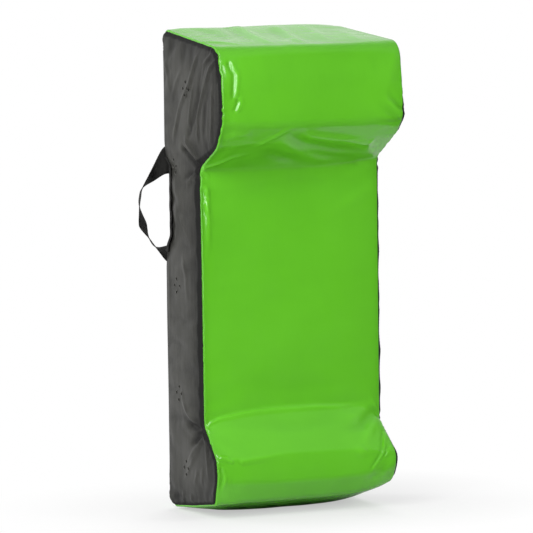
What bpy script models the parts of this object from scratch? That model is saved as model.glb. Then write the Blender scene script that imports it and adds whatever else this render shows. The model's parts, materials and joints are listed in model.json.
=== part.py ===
"""Tackle wedge: a tall foam pad with an upper and a lower wedge on its front, in a sewn cover.

Metres, +Z up. The origin is on the base, in the middle of the width and of the depth. The struck
front faces -Y, and left and right are as seen from the front. Each sewn or moulded piece is its own
object. The cover's side outline is worked out once and everything under it is an inset of it.
"""

import math

import bmesh
import bpy
from mathutils import Vector

# Overall sizes of the covered pad
WIDTH = 0.335
HEIGHT = 0.824
DEPTH = 0.248

# Side outline: places and set-backs of its corners, before they are rounded. A drop is below the top
TOP_FALL = 0.032
NOSE_DROP = 0.172
UPPER_HOLLOW_DROP = 0.231
LOWER_HOLLOW_HEIGHT = 0.156
CREST_HEIGHT = 0.103
TOE_HEIGHT = 0.034
MID_SETBACK = 0.099
LOW_SETBACK = 0.043
BASE_LENGTH = 0.143

# Side outline: radii of its corners
BACK_BASE_RADIUS = 0.048
TOP_BACK_RADIUS = 0.030
TOP_FRONT_RADIUS = 0.028
NOSE_RADIUS = 0.045
HOLLOW_RADIUS = 0.020
CREST_RADIUS = 0.028
TOE_RADIUS = 0.018
BASE_FRONT_RADIUS = 0.030

# Cover fabric, and the gap that neighbouring pieces keep
SKIN = 0.0012
GAP = 0.0003
SEAM_REACH = 0.006

# Air holes in the sides: drop below the top or height above the base, and distance from the back
UPPER_VENTS = ((0.102, 0.106), (0.236, 0.047))
LOWER_VENTS = ((0.386, 0.055), (0.203, 0.059), (0.078, 0.083))
VENT_RADIUS = 0.003
VENT_SPREAD = 0.0115
VENT_SIDES = 8

# Foam
BOARD_THICKNESS = 0.035

# Closure: a coil zip down the middle of the back
ZIP_LOW = 0.110
ZIP_DROP = 0.114
ZIP_OPENING = 0.014
TAPE_WIDTH = 0.014
TAPE_THICKNESS = 0.0006
TAPE_TAIL = 0.020
SLOT_TAIL = 0.010
CHAIN_WIDTH = 0.0022
CHAIN_THICKNESS = 0.0024
CHAIN_SPLIT = 0.0022
STOP_LENGTH = 0.004
PATCH_WIDTH = 0.048
PATCH_HEIGHT = 0.040

# Slider and pull tab
SLIDER_LENGTH = 0.012
SLIDER_WIDTH = 0.0094
PLATE_THICKNESS = 0.0010
POST_WIDTH = 0.0016
FLANGE_WIDTH = 0.0009
ARCH_WIDTH = 0.0024
ARCH_WALL = 0.0010
ARCH_INSIDE_LENGTH = 0.0064
ARCH_INSIDE_HEIGHT = 0.0028
PULL_LENGTH = 0.028
PULL_WIDTH = 0.0074
PULL_THICKNESS = 0.0012
PULL_CORNER = 0.0018
PULL_BAR = 0.0016
PULL_SLOT_WIDTH = 0.0038
PULL_SLOT_LENGTH = 0.0056
RUNNING_GAP = 0.0003

# Carrying straps of woven webbing
WEBBING_WIDTH = 0.040
WEBBING_THICKNESS = 0.0016
ANCHOR_REACH = 0.036
HANDLE_DROP = 0.230
HANDLE_SPAN = 0.157
HANDLE_REACH = 0.048
HANDLE_ANGLE = math.radians(45)
HANDLE_TWIST = math.radians(75)
TWIST_EASE = 1.4
ROLL_RADIUS = 0.0012
ROLL_OUTSET = 0.0015
ROLL_LIP = 0.0006
ROLL_SWEEP = math.radians(300)

# Route of a strap, from its upper to its lower anchor: share of the reach, share of the span
HANDLE_ROUTE_SHARES = (
    (0.00, 0.50), (0.12, 0.49), (0.34, 0.43), (0.62, 0.30), (0.88, 0.15), (1.00, 0.02),
    (0.96, -0.13), (0.82, -0.27), (0.60, -0.39), (0.34, -0.46), (0.12, -0.495), (0.00, -0.50),
)
ROUTE_STEPS = 3
END_BLEND_SHARE = 0.25

# Fineness of the rounded corners
ARC_STEP = math.radians(14)
ROLL_STEP = math.radians(28)

# What follows from the sizes above
FRONT_Y = -DEPTH / 2
BACK_Y = DEPTH / 2
MID_Y = FRONT_Y + MID_SETBACK
UPPER_HOLLOW_HEIGHT = HEIGHT - UPPER_HOLLOW_DROP
ZIP_HIGH = HEIGHT - ZIP_DROP
HANDLE_TOP = HEIGHT - HANDLE_DROP
HANDLE_BOTTOM = HANDLE_TOP - HANDLE_SPAN
INNER_HALF_WIDTH = WIDTH / 2 - SKIN - GAP
TAPE_OUTER_Y = BACK_Y - SKIN - GAP
TAPE_INNER_Y = TAPE_OUTER_Y - TAPE_THICKNESS
FOAM_BACK_Y = TAPE_INNER_Y - GAP
CHAIN_OUTER_Y = TAPE_INNER_Y + CHAIN_THICKNESS
CHAIN_INNER_X = CHAIN_SPLIT / 2
CHAIN_OUTER_X = CHAIN_INNER_X + CHAIN_WIDTH
PLATE_OUTER_Y = CHAIN_OUTER_Y + RUNNING_GAP + PLATE_THICKNESS
PULL_AXIS_Y = PLATE_OUTER_Y + ARCH_INSIDE_HEIGHT / 2
SLIDER_Z = ZIP_HIGH - GAP - SLIDER_LENGTH / 2
WEBBING_OUTER_Y = BACK_Y + GAP + WEBBING_THICKNESS
HINGE_X = WIDTH / 2 + ROLL_OUTSET
HINGE_Y = WEBBING_OUTER_Y

# Turns that stand a flat outline up: drawn in Y and Z, or in X and Z
SIDEWAYS = (math.pi / 2, 0, math.pi / 2)
UPRIGHT = (math.pi / 2, 0, 0)
FLAT = (0, 0, 0)


def clear_scene():
    """Remove what the scene holds."""
    for old in list(bpy.data.objects):
        bpy.data.objects.remove(old, do_unlink=True)


def new_collection(name):
    """A collection of this name in the scene."""
    collection = bpy.data.collections.new(name)
    bpy.context.scene.collection.children.link(collection)
    return collection


def new_material(name, colour, roughness, metallic=0.0):
    """A Principled material of one colour."""
    material = bpy.data.materials.new(name)
    material.use_nodes = True
    shader = material.node_tree.nodes["Principled BSDF"]
    shader.inputs["Base Color"].default_value = (*colour, 1)
    shader.inputs["Roughness"].default_value = roughness
    shader.inputs["Metallic"].default_value = metallic
    return material


def place_mesh(name, mesh, collection, material=None):
    """An object for a finished mesh."""
    made = bpy.data.objects.new(name, mesh)
    collection.objects.link(made)
    if material:
        mesh.materials.append(material)
    return made


def box(name, low, high, collection, material=None):
    """A box between two corners, with its origin in its middle."""
    middle = (Vector(low) + Vector(high)) / 2
    size = Vector(high) - Vector(low)
    form = bmesh.new()
    bmesh.ops.create_cube(form, size=1)
    bmesh.ops.scale(form, vec=size, verts=form.verts)
    mesh = bpy.data.meshes.new(name)
    form.to_mesh(mesh)
    form.free()
    made = place_mesh(name, mesh, collection, material)
    made.location = middle
    return made


def outline_solid(name, loops, low, high, turn, collection, material):
    """A flat outline, with any holes in it, given a thickness from low to high across its plane."""
    curve = bpy.data.curves.new(name, "CURVE")
    curve.dimensions = "2D"
    curve.fill_mode = "BOTH"
    curve.extrude = abs(high - low) / 2
    for loop in loops:
        spline = curve.splines.new("POLY")
        spline.points.add(len(loop) - 1)
        for point, place in zip(spline.points, loop):
            point.co = (place[0], place[1], 0, 1)
        spline.use_cyclic_u = True
    drawn = bpy.data.objects.new(name + "_drawn", curve)
    collection.objects.link(drawn)
    drawn.rotation_euler = turn
    middle = (low + high) / 2
    drawn.location = {SIDEWAYS: (middle, 0, 0), UPRIGHT: (0, middle, 0), FLAT: (0, 0, middle)}[turn]
    bpy.context.view_layer.update()
    mesh = bpy.data.meshes.new_from_object(drawn.evaluated_get(bpy.context.evaluated_depsgraph_get()))
    form = bmesh.new()
    form.from_mesh(mesh)
    bmesh.ops.remove_doubles(form, verts=form.verts, dist=1e-6)
    form.to_mesh(mesh)
    form.free()
    mesh.name = name
    made = place_mesh(name, mesh, collection, material)
    made.matrix_world = drawn.matrix_world
    bpy.data.objects.remove(drawn, do_unlink=True)
    return made


def boolean(target, other, operation):
    """A Boolean modifier that stays live on its object."""
    modifier = target.modifiers.new(operation.lower(), "BOOLEAN")
    modifier.operation = operation
    modifier.solver = "EXACT"
    modifier.object = other


def make_cutter(helper):
    """Keep a helper object out of the finished part."""
    helper.hide_render = True
    helper.display_type = "WIRE"


def turn_left(direction):
    """The plane direction a quarter turn anticlockwise."""
    return Vector((-direction.y, direction.x))


def inset(corners, distance):
    """The corners of a closed anticlockwise outline moved inward, their radii kept parallel."""
    moved = []
    for index, (y, z, radius) in enumerate(corners):
        here = Vector((y, z))
        before = Vector(corners[index - 1][:2])
        after = Vector(corners[(index + 1) % len(corners)][:2])
        into = (here - before).normalized()
        out = (after - here).normalized()
        normals = turn_left(into) + turn_left(out)
        place = here + normals * distance / (1 + turn_left(into).dot(turn_left(out)))
        bulges = turn_left(into).dot(out) > 0
        moved.append((place.x, place.y, radius - distance if bulges else radius + distance))
    return moved


def corner_arc(corners, index):
    """The points of the arc that rounds one corner of a closed outline."""
    y, z, radius = corners[index]
    here = Vector((y, z))
    into = (here - Vector(corners[index - 1][:2])).normalized()
    out = (Vector(corners[(index + 1) % len(corners)][:2]) - here).normalized()
    turn = into.angle(out)
    side = 1 if turn_left(into).dot(out) > 0 else -1
    centre = here - into * radius * math.tan(turn / 2) + turn_left(into) * radius * side
    steps = math.ceil(turn / ARC_STEP)
    start = -turn_left(into) * radius * side
    points = []
    for step in range(steps + 1):
        angle = side * turn * step / steps
        spun = Vector((start.x * math.cos(angle) - start.y * math.sin(angle),
                       start.x * math.sin(angle) + start.y * math.cos(angle)))
        points.append(centre + spun)
    return points


def rounded(corners):
    """The whole closed outline, with every corner rounded."""
    return [point for index in range(len(corners)) for point in corner_arc(corners, index)]


def keep_side(points, axis, limit, above):
    """The part of a closed outline on one side of a line across Y (axis 0) or Z (axis 1)."""
    sign = 1 if above else -1
    kept = []
    for index, here in enumerate(points):
        before = points[index - 1]
        was_in = sign * (before[axis] - limit) >= 0
        is_in = sign * (here[axis] - limit) >= 0
        if was_in != is_in:
            share = (limit - before[axis]) / (here[axis] - before[axis])
            kept.append(before.lerp(here, share))
        if is_in:
            kept.append(here)
    return kept


def side_corners():
    """Corners of the cover's side outline, anticlockwise from the back of the base."""
    low_y = FRONT_Y + LOW_SETBACK
    return [
        (BACK_Y, 0.0, BACK_BASE_RADIUS),
        (BACK_Y, HEIGHT, TOP_BACK_RADIUS),
        (FRONT_Y, HEIGHT - TOP_FALL, TOP_FRONT_RADIUS),
        (FRONT_Y, HEIGHT - NOSE_DROP, NOSE_RADIUS),
        (MID_Y, UPPER_HOLLOW_HEIGHT, HOLLOW_RADIUS),
        (MID_Y, LOWER_HOLLOW_HEIGHT, HOLLOW_RADIUS),
        (low_y, CREST_HEIGHT, CREST_RADIUS),
        (low_y, TOE_HEIGHT, TOE_RADIUS),
        (BACK_Y - BASE_LENGTH, 0.0, BASE_FRONT_RADIUS),
    ]


def front_path():
    """Outer line of the front panel, from the seam at the back of the top to the one behind the base."""
    corners = side_corners()
    bends = [corner_arc(corners, index % len(corners)) for index in range(1, len(corners) + 1)]
    path = [point for bend in bends for point in bend]
    top_seam = path[0] - Vector((0, SEAM_REACH))
    base_seam = path[-1] + Vector((0, SEAM_REACH))
    return [top_seam, *path, base_seam]


def make_front_panel(collection, material):
    """The one sheet that covers the top, the whole front and the base."""
    form = bmesh.new()
    points = [form.verts.new((INNER_HALF_WIDTH, place.x, place.y)) for place in front_path()]
    edges = [form.edges.new(pair) for pair in zip(points, points[1:])]
    spread = bmesh.ops.extrude_edge_only(form, edges=edges)["geom"]
    far_side = [item for item in spread if isinstance(item, bmesh.types.BMVert)]
    bmesh.ops.translate(form, vec=(-2 * INNER_HALF_WIDTH, 0, 0), verts=far_side)
    mesh = bpy.data.meshes.new("front_panel")
    form.to_mesh(mesh)
    form.free()
    made = place_mesh("front_panel", mesh, collection, material)
    solidify = made.modifiers.new("thickness", "SOLIDIFY")
    solidify.thickness = SKIN
    solidify.offset = -1
    solidify.use_even_offset = True


def vent_holes():
    """Outlines of the air holes: a diamond of four round holes at each place."""
    holes = []
    places = [(HEIGHT - drop, from_back) for drop, from_back in UPPER_VENTS] + list(LOWER_VENTS)
    for height, from_back in places:
        for quarter in range(4):
            aim = quarter * math.pi / 2
            centre = Vector((BACK_Y - from_back, height))
            centre += VENT_SPREAD * Vector((math.cos(aim), math.sin(aim)))
            ring = [math.tau * step / VENT_SIDES for step in range(VENT_SIDES)]
            holes.append([centre + VENT_RADIUS * Vector((math.cos(a), math.sin(a))) for a in ring])
    return holes


def make_side_panels(collection, material):
    """The two flat sides, with their air holes."""
    loops = [rounded(side_corners()), *vent_holes()]
    for side, sign in (("left", -1), ("right", 1)):
        inner, outer = sign * (WIDTH / 2 - SKIN), sign * WIDTH / 2
        outline_solid(side + "_side_panel", loops, inner, outer, SIDEWAYS, collection, material)


def make_back_panels(collection, material):
    """The two halves of the back, cut away along the zip."""
    path = front_path()
    low, high = path[-1].y + GAP, path[0].y - GAP
    opening_low, opening_high = ZIP_LOW - SLOT_TAIL, ZIP_HIGH + SLOT_TAIL
    seam, slot = GAP / 2, ZIP_OPENING / 2
    for side, sign in (("left", -1), ("right", 1)):
        loop = [
            (INNER_HALF_WIDTH, low), (seam, low), (seam, opening_low), (slot, opening_low),
            (slot, opening_high), (seam, opening_high), (seam, high), (INNER_HALF_WIDTH, high),
        ]
        loop = [(sign * x, z) for x, z in loop]
        outline_solid(
            "back_panel_" + side, [loop], BACK_Y - SKIN, BACK_Y, UPRIGHT, collection, material)


def make_foam(collection, cutters, materials):
    """The slabs that fill the cover: a board, a body in two slabs, and the two wedges."""
    board, body, wedge = materials
    outline = rounded(inset(side_corners(), SKIN + GAP))
    board_front = FOAM_BACK_Y - BOARD_THICKNESS
    mid_face = MID_Y + SKIN + GAP
    nose_face = FRONT_Y + SKIN + GAP
    body_split = (board_front + mid_face) / 2
    wedge_split = (mid_face + nose_face) / 2
    between_wedges = (UPPER_HOLLOW_HEIGHT + LOWER_HOLLOW_HEIGHT) / 2
    upper = keep_side(outline, 1, between_wedges, True)
    lower = keep_side(outline, 1, between_wedges, False)
    slabs = (
        ("foam_back_board", outline, board_front + GAP, FOAM_BACK_Y, board),
        ("foam_core_rear", outline, body_split + GAP, board_front, body),
        ("foam_core_front", outline, mid_face, body_split, body),
        ("foam_upper_inner", upper, wedge_split + GAP, mid_face - GAP, wedge),
        ("foam_upper_outer", upper, nose_face - GAP, wedge_split, wedge),
        ("foam_lower_block", lower, nose_face - GAP, mid_face - GAP, wedge),
    )
    for name, loop, front, back, material in slabs:
        cut = keep_side(keep_side(loop, 0, front, True), 0, back, False)
        outline_solid(
            name, [cut], -INNER_HALF_WIDTH, INNER_HALF_WIDTH, SIDEWAYS, collection, material)
    channel_half = SLIDER_WIDTH / 2 + GAP
    channel_deep = RUNNING_GAP + PLATE_THICKNESS + GAP
    channel = box(
        "zip_channel_cutter",
        (-channel_half, FOAM_BACK_Y - channel_deep, ZIP_LOW - SLOT_TAIL),
        (channel_half, BACK_Y, ZIP_HIGH + SLOT_TAIL),
        cutters)
    make_cutter(channel)
    boolean(collection.objects["foam_back_board"], channel, "DIFFERENCE")


def make_zip(collection, cloth, metal, patch_cloth):
    """Tapes, chain halves, stops and end patches of the zip."""
    tape_x = CHAIN_OUTER_X + GAP
    low, high = ZIP_LOW - TAPE_TAIL, ZIP_HIGH + TAPE_TAIL
    stop_grip = GAP / 2
    for side, sign in (("left", -1), ("right", 1)):
        near, far = sorted((sign * tape_x, sign * (tape_x + TAPE_WIDTH)))
        box("zip_tape_" + side, (near, TAPE_INNER_Y, low), (far, TAPE_OUTER_Y, high),
            collection, cloth)
        near, far = sorted((sign * CHAIN_INNER_X, sign * CHAIN_OUTER_X))
        box("zip_chain_" + side, (near, TAPE_INNER_Y, ZIP_LOW), (far, CHAIN_OUTER_Y, ZIP_HIGH),
            collection, cloth)
        box("zip_top_stop_" + side,
            (near, TAPE_INNER_Y, ZIP_HIGH + GAP),
            (far, CHAIN_OUTER_Y + stop_grip, ZIP_HIGH + GAP + STOP_LENGTH),
            collection, metal)
    box("zip_bottom_stop",
        (-CHAIN_OUTER_X, TAPE_INNER_Y, ZIP_LOW - GAP - STOP_LENGTH),
        (CHAIN_OUTER_X, CHAIN_OUTER_Y + stop_grip, ZIP_LOW - GAP),
        collection, metal)
    upper_start = ZIP_HIGH + SLOT_TAIL
    lower_start = ZIP_LOW - SLOT_TAIL - PATCH_HEIGHT
    for name, start in (("zip_upper_patch", upper_start), ("zip_lower_patch", lower_start)):
        box(name,
            (-PATCH_WIDTH / 2, BACK_Y + GAP, start),
            (PATCH_WIDTH / 2, BACK_Y + GAP + SKIN, start + PATCH_HEIGHT),
            collection, patch_cloth)


def make_slider(collection, cutters, metal):
    """The slider: two plates on one post, with the arch that carries the pull tab."""
    half = SLIDER_WIDTH / 2
    post = POST_WIDTH / 2
    under_outer = CHAIN_OUTER_Y + RUNNING_GAP
    over_inner = TAPE_INNER_Y - RUNNING_GAP
    under_inner = over_inner - PLATE_THICKNESS
    flange_end = TAPE_OUTER_Y + RUNNING_GAP
    flange_x = half - FLANGE_WIDTH
    right_half = [
        (post, over_inner), (half, over_inner), (half, under_inner),
        (-half, under_inner), (-half, over_inner), (-post, over_inner),
    ]
    outer_half = [
        (-post, under_outer), (-flange_x, under_outer), (-flange_x, flange_end), (-half, flange_end),
        (-half, PLATE_OUTER_Y), (half, PLATE_OUTER_Y), (half, flange_end), (flange_x, flange_end),
        (flange_x, under_outer), (post, under_outer),
    ]
    slider = outline_solid(
        "zip_slider", [right_half + outer_half],
        SLIDER_Z - SLIDER_LENGTH / 2, SLIDER_Z + SLIDER_LENGTH / 2, FLAT, collection, metal)
    inside = ARCH_INSIDE_LENGTH / 2
    outside = inside + ARCH_WALL
    root = PLATE_OUTER_Y - PLATE_THICKNESS / 2
    ceiling = PLATE_OUTER_Y + ARCH_INSIDE_HEIGHT
    arch_loop = [
        (root, SLIDER_Z - outside), (root, SLIDER_Z - inside), (ceiling, SLIDER_Z - inside),
        (ceiling, SLIDER_Z + inside), (root, SLIDER_Z + inside), (root, SLIDER_Z + outside),
        (ceiling + ARCH_WALL, SLIDER_Z + outside), (ceiling + ARCH_WALL, SLIDER_Z - outside),
    ]
    arch = outline_solid(
        "pull_arch_helper", [arch_loop], -ARCH_WIDTH / 2, ARCH_WIDTH / 2, SIDEWAYS, cutters, None)
    make_cutter(arch)
    boolean(slider, arch, "UNION")


def make_pull(collection, metal):
    """The pull tab, hanging from the slider's arch, with its origin on the axis that it swings about."""
    half = PULL_WIDTH / 2
    top = PULL_BAR / 2
    slot_half = PULL_SLOT_WIDTH / 2
    end = top - PULL_LENGTH
    outer = [
        (-half, top), (-half, end + PULL_CORNER), (-half + PULL_CORNER, end),
        (half - PULL_CORNER, end), (half, end + PULL_CORNER), (half, top),
    ]
    slot = [
        (-slot_half, -top), (-slot_half, -top - PULL_SLOT_LENGTH),
        (slot_half, -top - PULL_SLOT_LENGTH), (slot_half, -top),
    ]
    loops = [outer, slot]
    pull = outline_solid(
        "zip_pull", loops, -PULL_THICKNESS / 2, PULL_THICKNESS / 2, UPRIGHT, collection, metal)
    pull.location = (0, PULL_AXIS_Y, SLIDER_Z)


def smooth_route(points, steps):
    """Points along a smooth curve through a list of plane points."""
    padded = [points[0] * 2 - points[1], *points, points[-1] * 2 - points[-2]]
    route = []
    for p0, p1, p2, p3 in zip(padded, padded[1:], padded[2:], padded[3:]):
        for step in range(steps):
            t = step / steps
            route.append(0.5 * (2 * p1 + (p2 - p0) * t + (2 * p0 - 5 * p1 + 4 * p2 - p3) * t ** 2
                                + (3 * p1 - p0 - 3 * p2 + p3) * t ** 3))
    route.append(points[-1])
    return route


def make_handle(side, sign, collection, webbing):
    """One strap: a ribbon whose width is upright at its anchors and turns away in between."""
    start = ROLL_RADIUS + GAP
    middle = (HANDLE_TOP + HANDLE_BOTTOM) / 2
    turns = [
        Vector((start + (HANDLE_REACH - start) * out, HANDLE_SPAN * up))
        for out, up in HANDLE_ROUTE_SHARES
    ]
    route = smooth_route(turns, ROUTE_STEPS)
    outward = Vector((sign * math.cos(HANDLE_ANGLE), math.sin(HANDLE_ANGLE), 0))
    across = Vector((-sign * math.sin(HANDLE_ANGLE), math.cos(HANDLE_ANGLE), 0))
    upward = Vector((0, 0, 1))
    form = bmesh.new()
    rails = []
    for index, place in enumerate(route):
        along = (route[min(index + 1, len(route) - 1)] - route[max(index - 1, 0)]).normalized()
        share = index / (len(route) - 1)
        edge = turn_left(along)
        ahead = Vector((0, 1 if share < 0.5 else -1))
        flat = ahead.lerp(edge, min(1, min(share, 1 - share) / END_BLEND_SHARE)).normalized()
        twist = HANDLE_TWIST * math.sin(math.pi * share) ** TWIST_EASE
        wide = math.cos(twist) * (outward * flat.x + upward * flat.y) + math.sin(twist) * across
        centre = outward * place.x + upward * place.y
        half = wide * WEBBING_WIDTH / 2
        rails.append([form.verts.new(point) for point in (centre + half, centre, centre - half)])
    for before, after in zip(rails, rails[1:]):
        for (a, b), (c, d) in zip(zip(before, before[1:]), zip(after, after[1:])):
            form.faces.new((a, b, d, c))
    mesh = bpy.data.meshes.new("handle_" + side)
    form.to_mesh(mesh)
    form.free()
    made = place_mesh("handle_" + side, mesh, collection, webbing)
    made.location = (sign * HINGE_X, HINGE_Y, middle)
    solidify = made.modifiers.new("thickness", "SOLIDIFY")
    solidify.thickness = WEBBING_THICKNESS
    solidify.offset = 0


def anchor_loop(sign):
    """Section of a sewn-down strap end, with the rolled edge that the strap swings about."""
    inner_x = WIDTH / 2 - ANCHOR_REACH
    steps = math.ceil(ROLL_SWEEP / ROLL_STEP)
    roll = []
    for step in range(steps + 1):
        angle = ROLL_SWEEP * step / steps
        roll.append((HINGE_X - ROLL_RADIUS * math.cos(angle), HINGE_Y + ROLL_RADIUS * math.sin(angle)))
    loop = [
        *roll, (HINGE_X - ROLL_LIP, BACK_Y + GAP), (inner_x, BACK_Y + GAP), (inner_x, WEBBING_OUTER_Y),
    ]
    return [(sign * x, y) for x, y in loop]


def make_strap_bases(side, sign, collection, webbing):
    """The two sewn-down ends of a strap and the webbing between them."""
    half = WEBBING_WIDTH / 2
    for place, height in (("upper", HANDLE_TOP), ("lower", HANDLE_BOTTOM)):
        outline_solid(
            f"{side}_{place}_anchor", [anchor_loop(sign)], height - half, height + half,
            FLAT, collection, webbing)
    near, far = sorted((sign * (WIDTH / 2 - ANCHOR_REACH), sign * WIDTH / 2))
    box(side + "_base_webbing",
        (near, BACK_Y + GAP, HANDLE_BOTTOM + half + GAP),
        (far, WEBBING_OUTER_Y, HANDLE_TOP - half - GAP),
        collection, webbing)


def build():
    """Make every piece of the wedge."""
    clear_scene()
    wedge = new_collection("tackle_wedge")
    cutters = new_collection("cutters")
    cutters.hide_render = True
    green = new_material("green_cover", (0.14, 0.58, 0.03), 0.3)
    grey = new_material("grey_cover", (0.11, 0.11, 0.095), 0.5)
    black = new_material("black_webbing", (0.012, 0.012, 0.011), 0.75)
    zip_cloth = new_material("zip_cloth", (0.02, 0.02, 0.02), 0.7)
    metal = new_material("zip_metal", (0.35, 0.35, 0.34), 0.35, 1.0)
    board = new_material("firm_foam", (0.030, 0.030, 0.032), 0.95)
    body = new_material("body_foam", (0.055, 0.055, 0.058), 0.95)
    wedge_foam = new_material("wedge_foam", (0.040, 0.044, 0.050), 0.95)

    make_front_panel(wedge, green)
    make_side_panels(wedge, grey)
    make_back_panels(wedge, grey)
    make_foam(wedge, cutters, (board, body, wedge_foam))
    make_zip(wedge, zip_cloth, metal, grey)
    make_slider(wedge, cutters, metal)
    make_pull(wedge, metal)
    for side, sign in (("left", -1), ("right", 1)):
        make_handle(side, sign, wedge, black)
        make_strap_bases(side, sign, wedge, black)


build()
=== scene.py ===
"""Looks of a tackle wedge: a tall foam pad with an upper and a lower wedge, in a sewn cover.

Metres, +Z up. The struck front faces -Y, the back with its zip and carrying straps faces +Y, and left
and right are as seen from the front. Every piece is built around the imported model, in its frame.
"""

from __future__ import annotations

import json
import logging
import math
from dataclasses import dataclass, field
from enum import Enum

import bmesh
import bpy
import numpy as np
from bpy.types import ID, Material, Mesh, Node, NodeOutputs, NodeSocket, NodeTree, Object
from mathutils import Matrix, Vector, geometry, noise
from mathutils.bvhtree import BVHTree
from mathutils.kdtree import KDTree

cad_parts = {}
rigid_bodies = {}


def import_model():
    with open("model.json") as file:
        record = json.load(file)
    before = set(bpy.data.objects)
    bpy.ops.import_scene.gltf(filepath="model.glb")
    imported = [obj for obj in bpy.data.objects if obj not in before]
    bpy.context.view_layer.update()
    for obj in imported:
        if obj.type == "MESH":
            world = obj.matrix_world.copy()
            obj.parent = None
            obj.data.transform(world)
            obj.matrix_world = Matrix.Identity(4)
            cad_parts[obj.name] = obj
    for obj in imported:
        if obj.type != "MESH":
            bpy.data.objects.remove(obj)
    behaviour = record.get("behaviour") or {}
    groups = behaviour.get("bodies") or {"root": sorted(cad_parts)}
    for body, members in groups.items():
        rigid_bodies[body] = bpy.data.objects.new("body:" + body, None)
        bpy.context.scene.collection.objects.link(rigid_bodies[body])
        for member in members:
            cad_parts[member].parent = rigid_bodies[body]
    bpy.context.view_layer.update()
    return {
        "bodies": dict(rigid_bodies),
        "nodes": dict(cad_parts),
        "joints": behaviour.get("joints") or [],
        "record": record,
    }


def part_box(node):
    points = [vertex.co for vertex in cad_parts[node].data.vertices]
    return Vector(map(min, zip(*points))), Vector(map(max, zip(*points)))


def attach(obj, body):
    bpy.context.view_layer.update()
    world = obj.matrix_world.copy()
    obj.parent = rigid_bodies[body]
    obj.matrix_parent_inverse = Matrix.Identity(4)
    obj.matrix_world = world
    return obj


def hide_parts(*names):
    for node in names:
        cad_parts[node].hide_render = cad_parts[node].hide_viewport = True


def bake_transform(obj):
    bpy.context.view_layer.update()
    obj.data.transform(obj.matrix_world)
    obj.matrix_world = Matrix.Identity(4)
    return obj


LOG = logging.getLogger("tackle_wedge")
Array = np.ndarray
Pair = tuple[float, float]
Triple = Colour = tuple[float, float, float]
Value = NodeSocket | float | tuple[float, ...]
LEFT, RIGHT = -1, 1
SIDE_NAMES = {LEFT: "left", RIGHT: "right"}
MM = 1000
"""Millimetres in a metre."""
TINY = 1e-6
WHITE = (1.0, 1.0, 1.0, 1.0)


@dataclass(frozen=True)
class Corner:
    """One corner of the cover's side outline, before it is rounded, in millimetres.

    Args:
        behind: Distance behind the front plane of the pad.
        height: Height above the base.
        radius: Radius that rounds it, as far as its neighbours leave room.
    """

    behind: float
    height: float
    radius: float


MIDDLE_OUTLINE = (
    Corner(249, 820.5, 30), Corner(4, 795, 22), Corner(-3, 740, 100), Corner(-3, 662, 26),
    Corner(30, 634, 50), Corner(97, 584.5, 10), Corner(94, 180, 22), Corner(42, 107, 18),
    Corner(38, 61, 20), Corner(56, 28, 20), Corner(150, 0.6, 40), Corner(249, 0.5, 48),
)
LEFT_OUTLINE = (
    Corner(249, 819, 28), Corner(27, 796.5, 30), Corner(3.5, 728, 100), Corner(5.5, 670, 30),
    Corner(26.5, 625.5, 50), Corner(98.5, 590, 14), Corner(98.5, 153, 16), Corner(49.5, 102, 20),
    Corner(47, 72, 60), Corner(59, 24.5, 8), Corner(150, 12, 50), Corner(249, 1, 62),
)
RIGHT_OUTLINE = (
    Corner(249, 812.5, 28), Corner(7, 796.5, 34), Corner(-4, 715, 100), Corner(-4, 665, 22),
    Corner(23, 640, 40), Corner(100, 595, 14), Corner(102.5, 148, 16), Corner(40, 100, 25),
    Corner(36.5, 80, 30), Corner(52, 48, 30), Corner(150, 20, 50), Corner(249, 1, 52),
)
TOP_FRONT_CORNER = 1
BASE_CORNER = 10


@dataclass(frozen=True)
class Fold:
    """A crease, a roll or a hollow in a panel.

    Args:
        path: Places it passes, on the panel's two axes, in millimetres.
        width: Its half width, in millimetres.
        height: How far it stands out, or below zero how far it sinks, in millimetres.
        lean: From -1 to 1, how much one flank sinks as the other rises.
        start: Share of its length over which it fades in.
        end: Share of its length over which it fades out.
    """

    path: tuple[Pair, ...]
    width: float
    height: float
    lean: float = 0.0
    start: float = 0.2
    end: float = 0.5

    @property
    def places(self) -> Array:
        """Its path in metres."""
        return np.array(self.path) / MM

    def lift(self, first: Array, second: Array, path: Array) -> Array:
        """How far the fold moves each place of a panel along its normal.

        Args:
            first: The places' first coordinate.
            second: Their second coordinate.
            path: The fold's own places in those coordinates.

        Returns:
            The heights, of the same shape as the places.
        """
        nearest = np.full(first.shape, np.inf)
        side = np.zeros(first.shape)
        along = np.zeros(first.shape)
        steps = np.hypot(*np.diff(path, axis=0).T)
        done = np.concatenate(([0.0], np.cumsum(steps)))
        for index, length in enumerate(steps):
            start, way = path[index], (path[index + 1] - path[index]) / length
            across_first, across_second = first - start[0], second - start[1]
            travel = across_first * way[0] + across_second * way[1]
            held = np.clip(travel, 0, length)
            gap = np.hypot(across_first - held * way[0], across_second - held * way[1])
            closer = gap < nearest
            nearest = np.where(closer, gap, nearest)
            turned = np.sign(way[0] * across_second - way[1] * across_first)
            side = np.where(closer, turned * gap, side)
            along = np.where(closer, (done[index] + held) / done[-1], along)
        reach = side / (self.width / MM)
        shape = np.exp(-(reach ** 2))
        tilt = reach * shape * math.sqrt(2 * math.e)
        fade = ease(along / max(self.start, TINY)) * ease((1 - along) / max(self.end, TINY))
        return self.height / MM * fade * ((1 - abs(self.lean)) * shape + self.lean * tilt)


def ease(value: Array) -> Array:
    """A smooth step from 0 to 1."""
    held = np.clip(value, 0.0, 1.0)
    return held * held * (3 - 2 * held)


@dataclass(frozen=True)
class Ramp:
    """A smooth step from 0 to 1.

    Args:
        start: Where it starts.
        length: How far on it ends, below zero for a step that rises towards smaller values.
    """

    start: float
    length: float

    def at(self, value: Array) -> Array:
        """Its height at each value."""
        return ease((value - self.start) / self.length)


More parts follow.
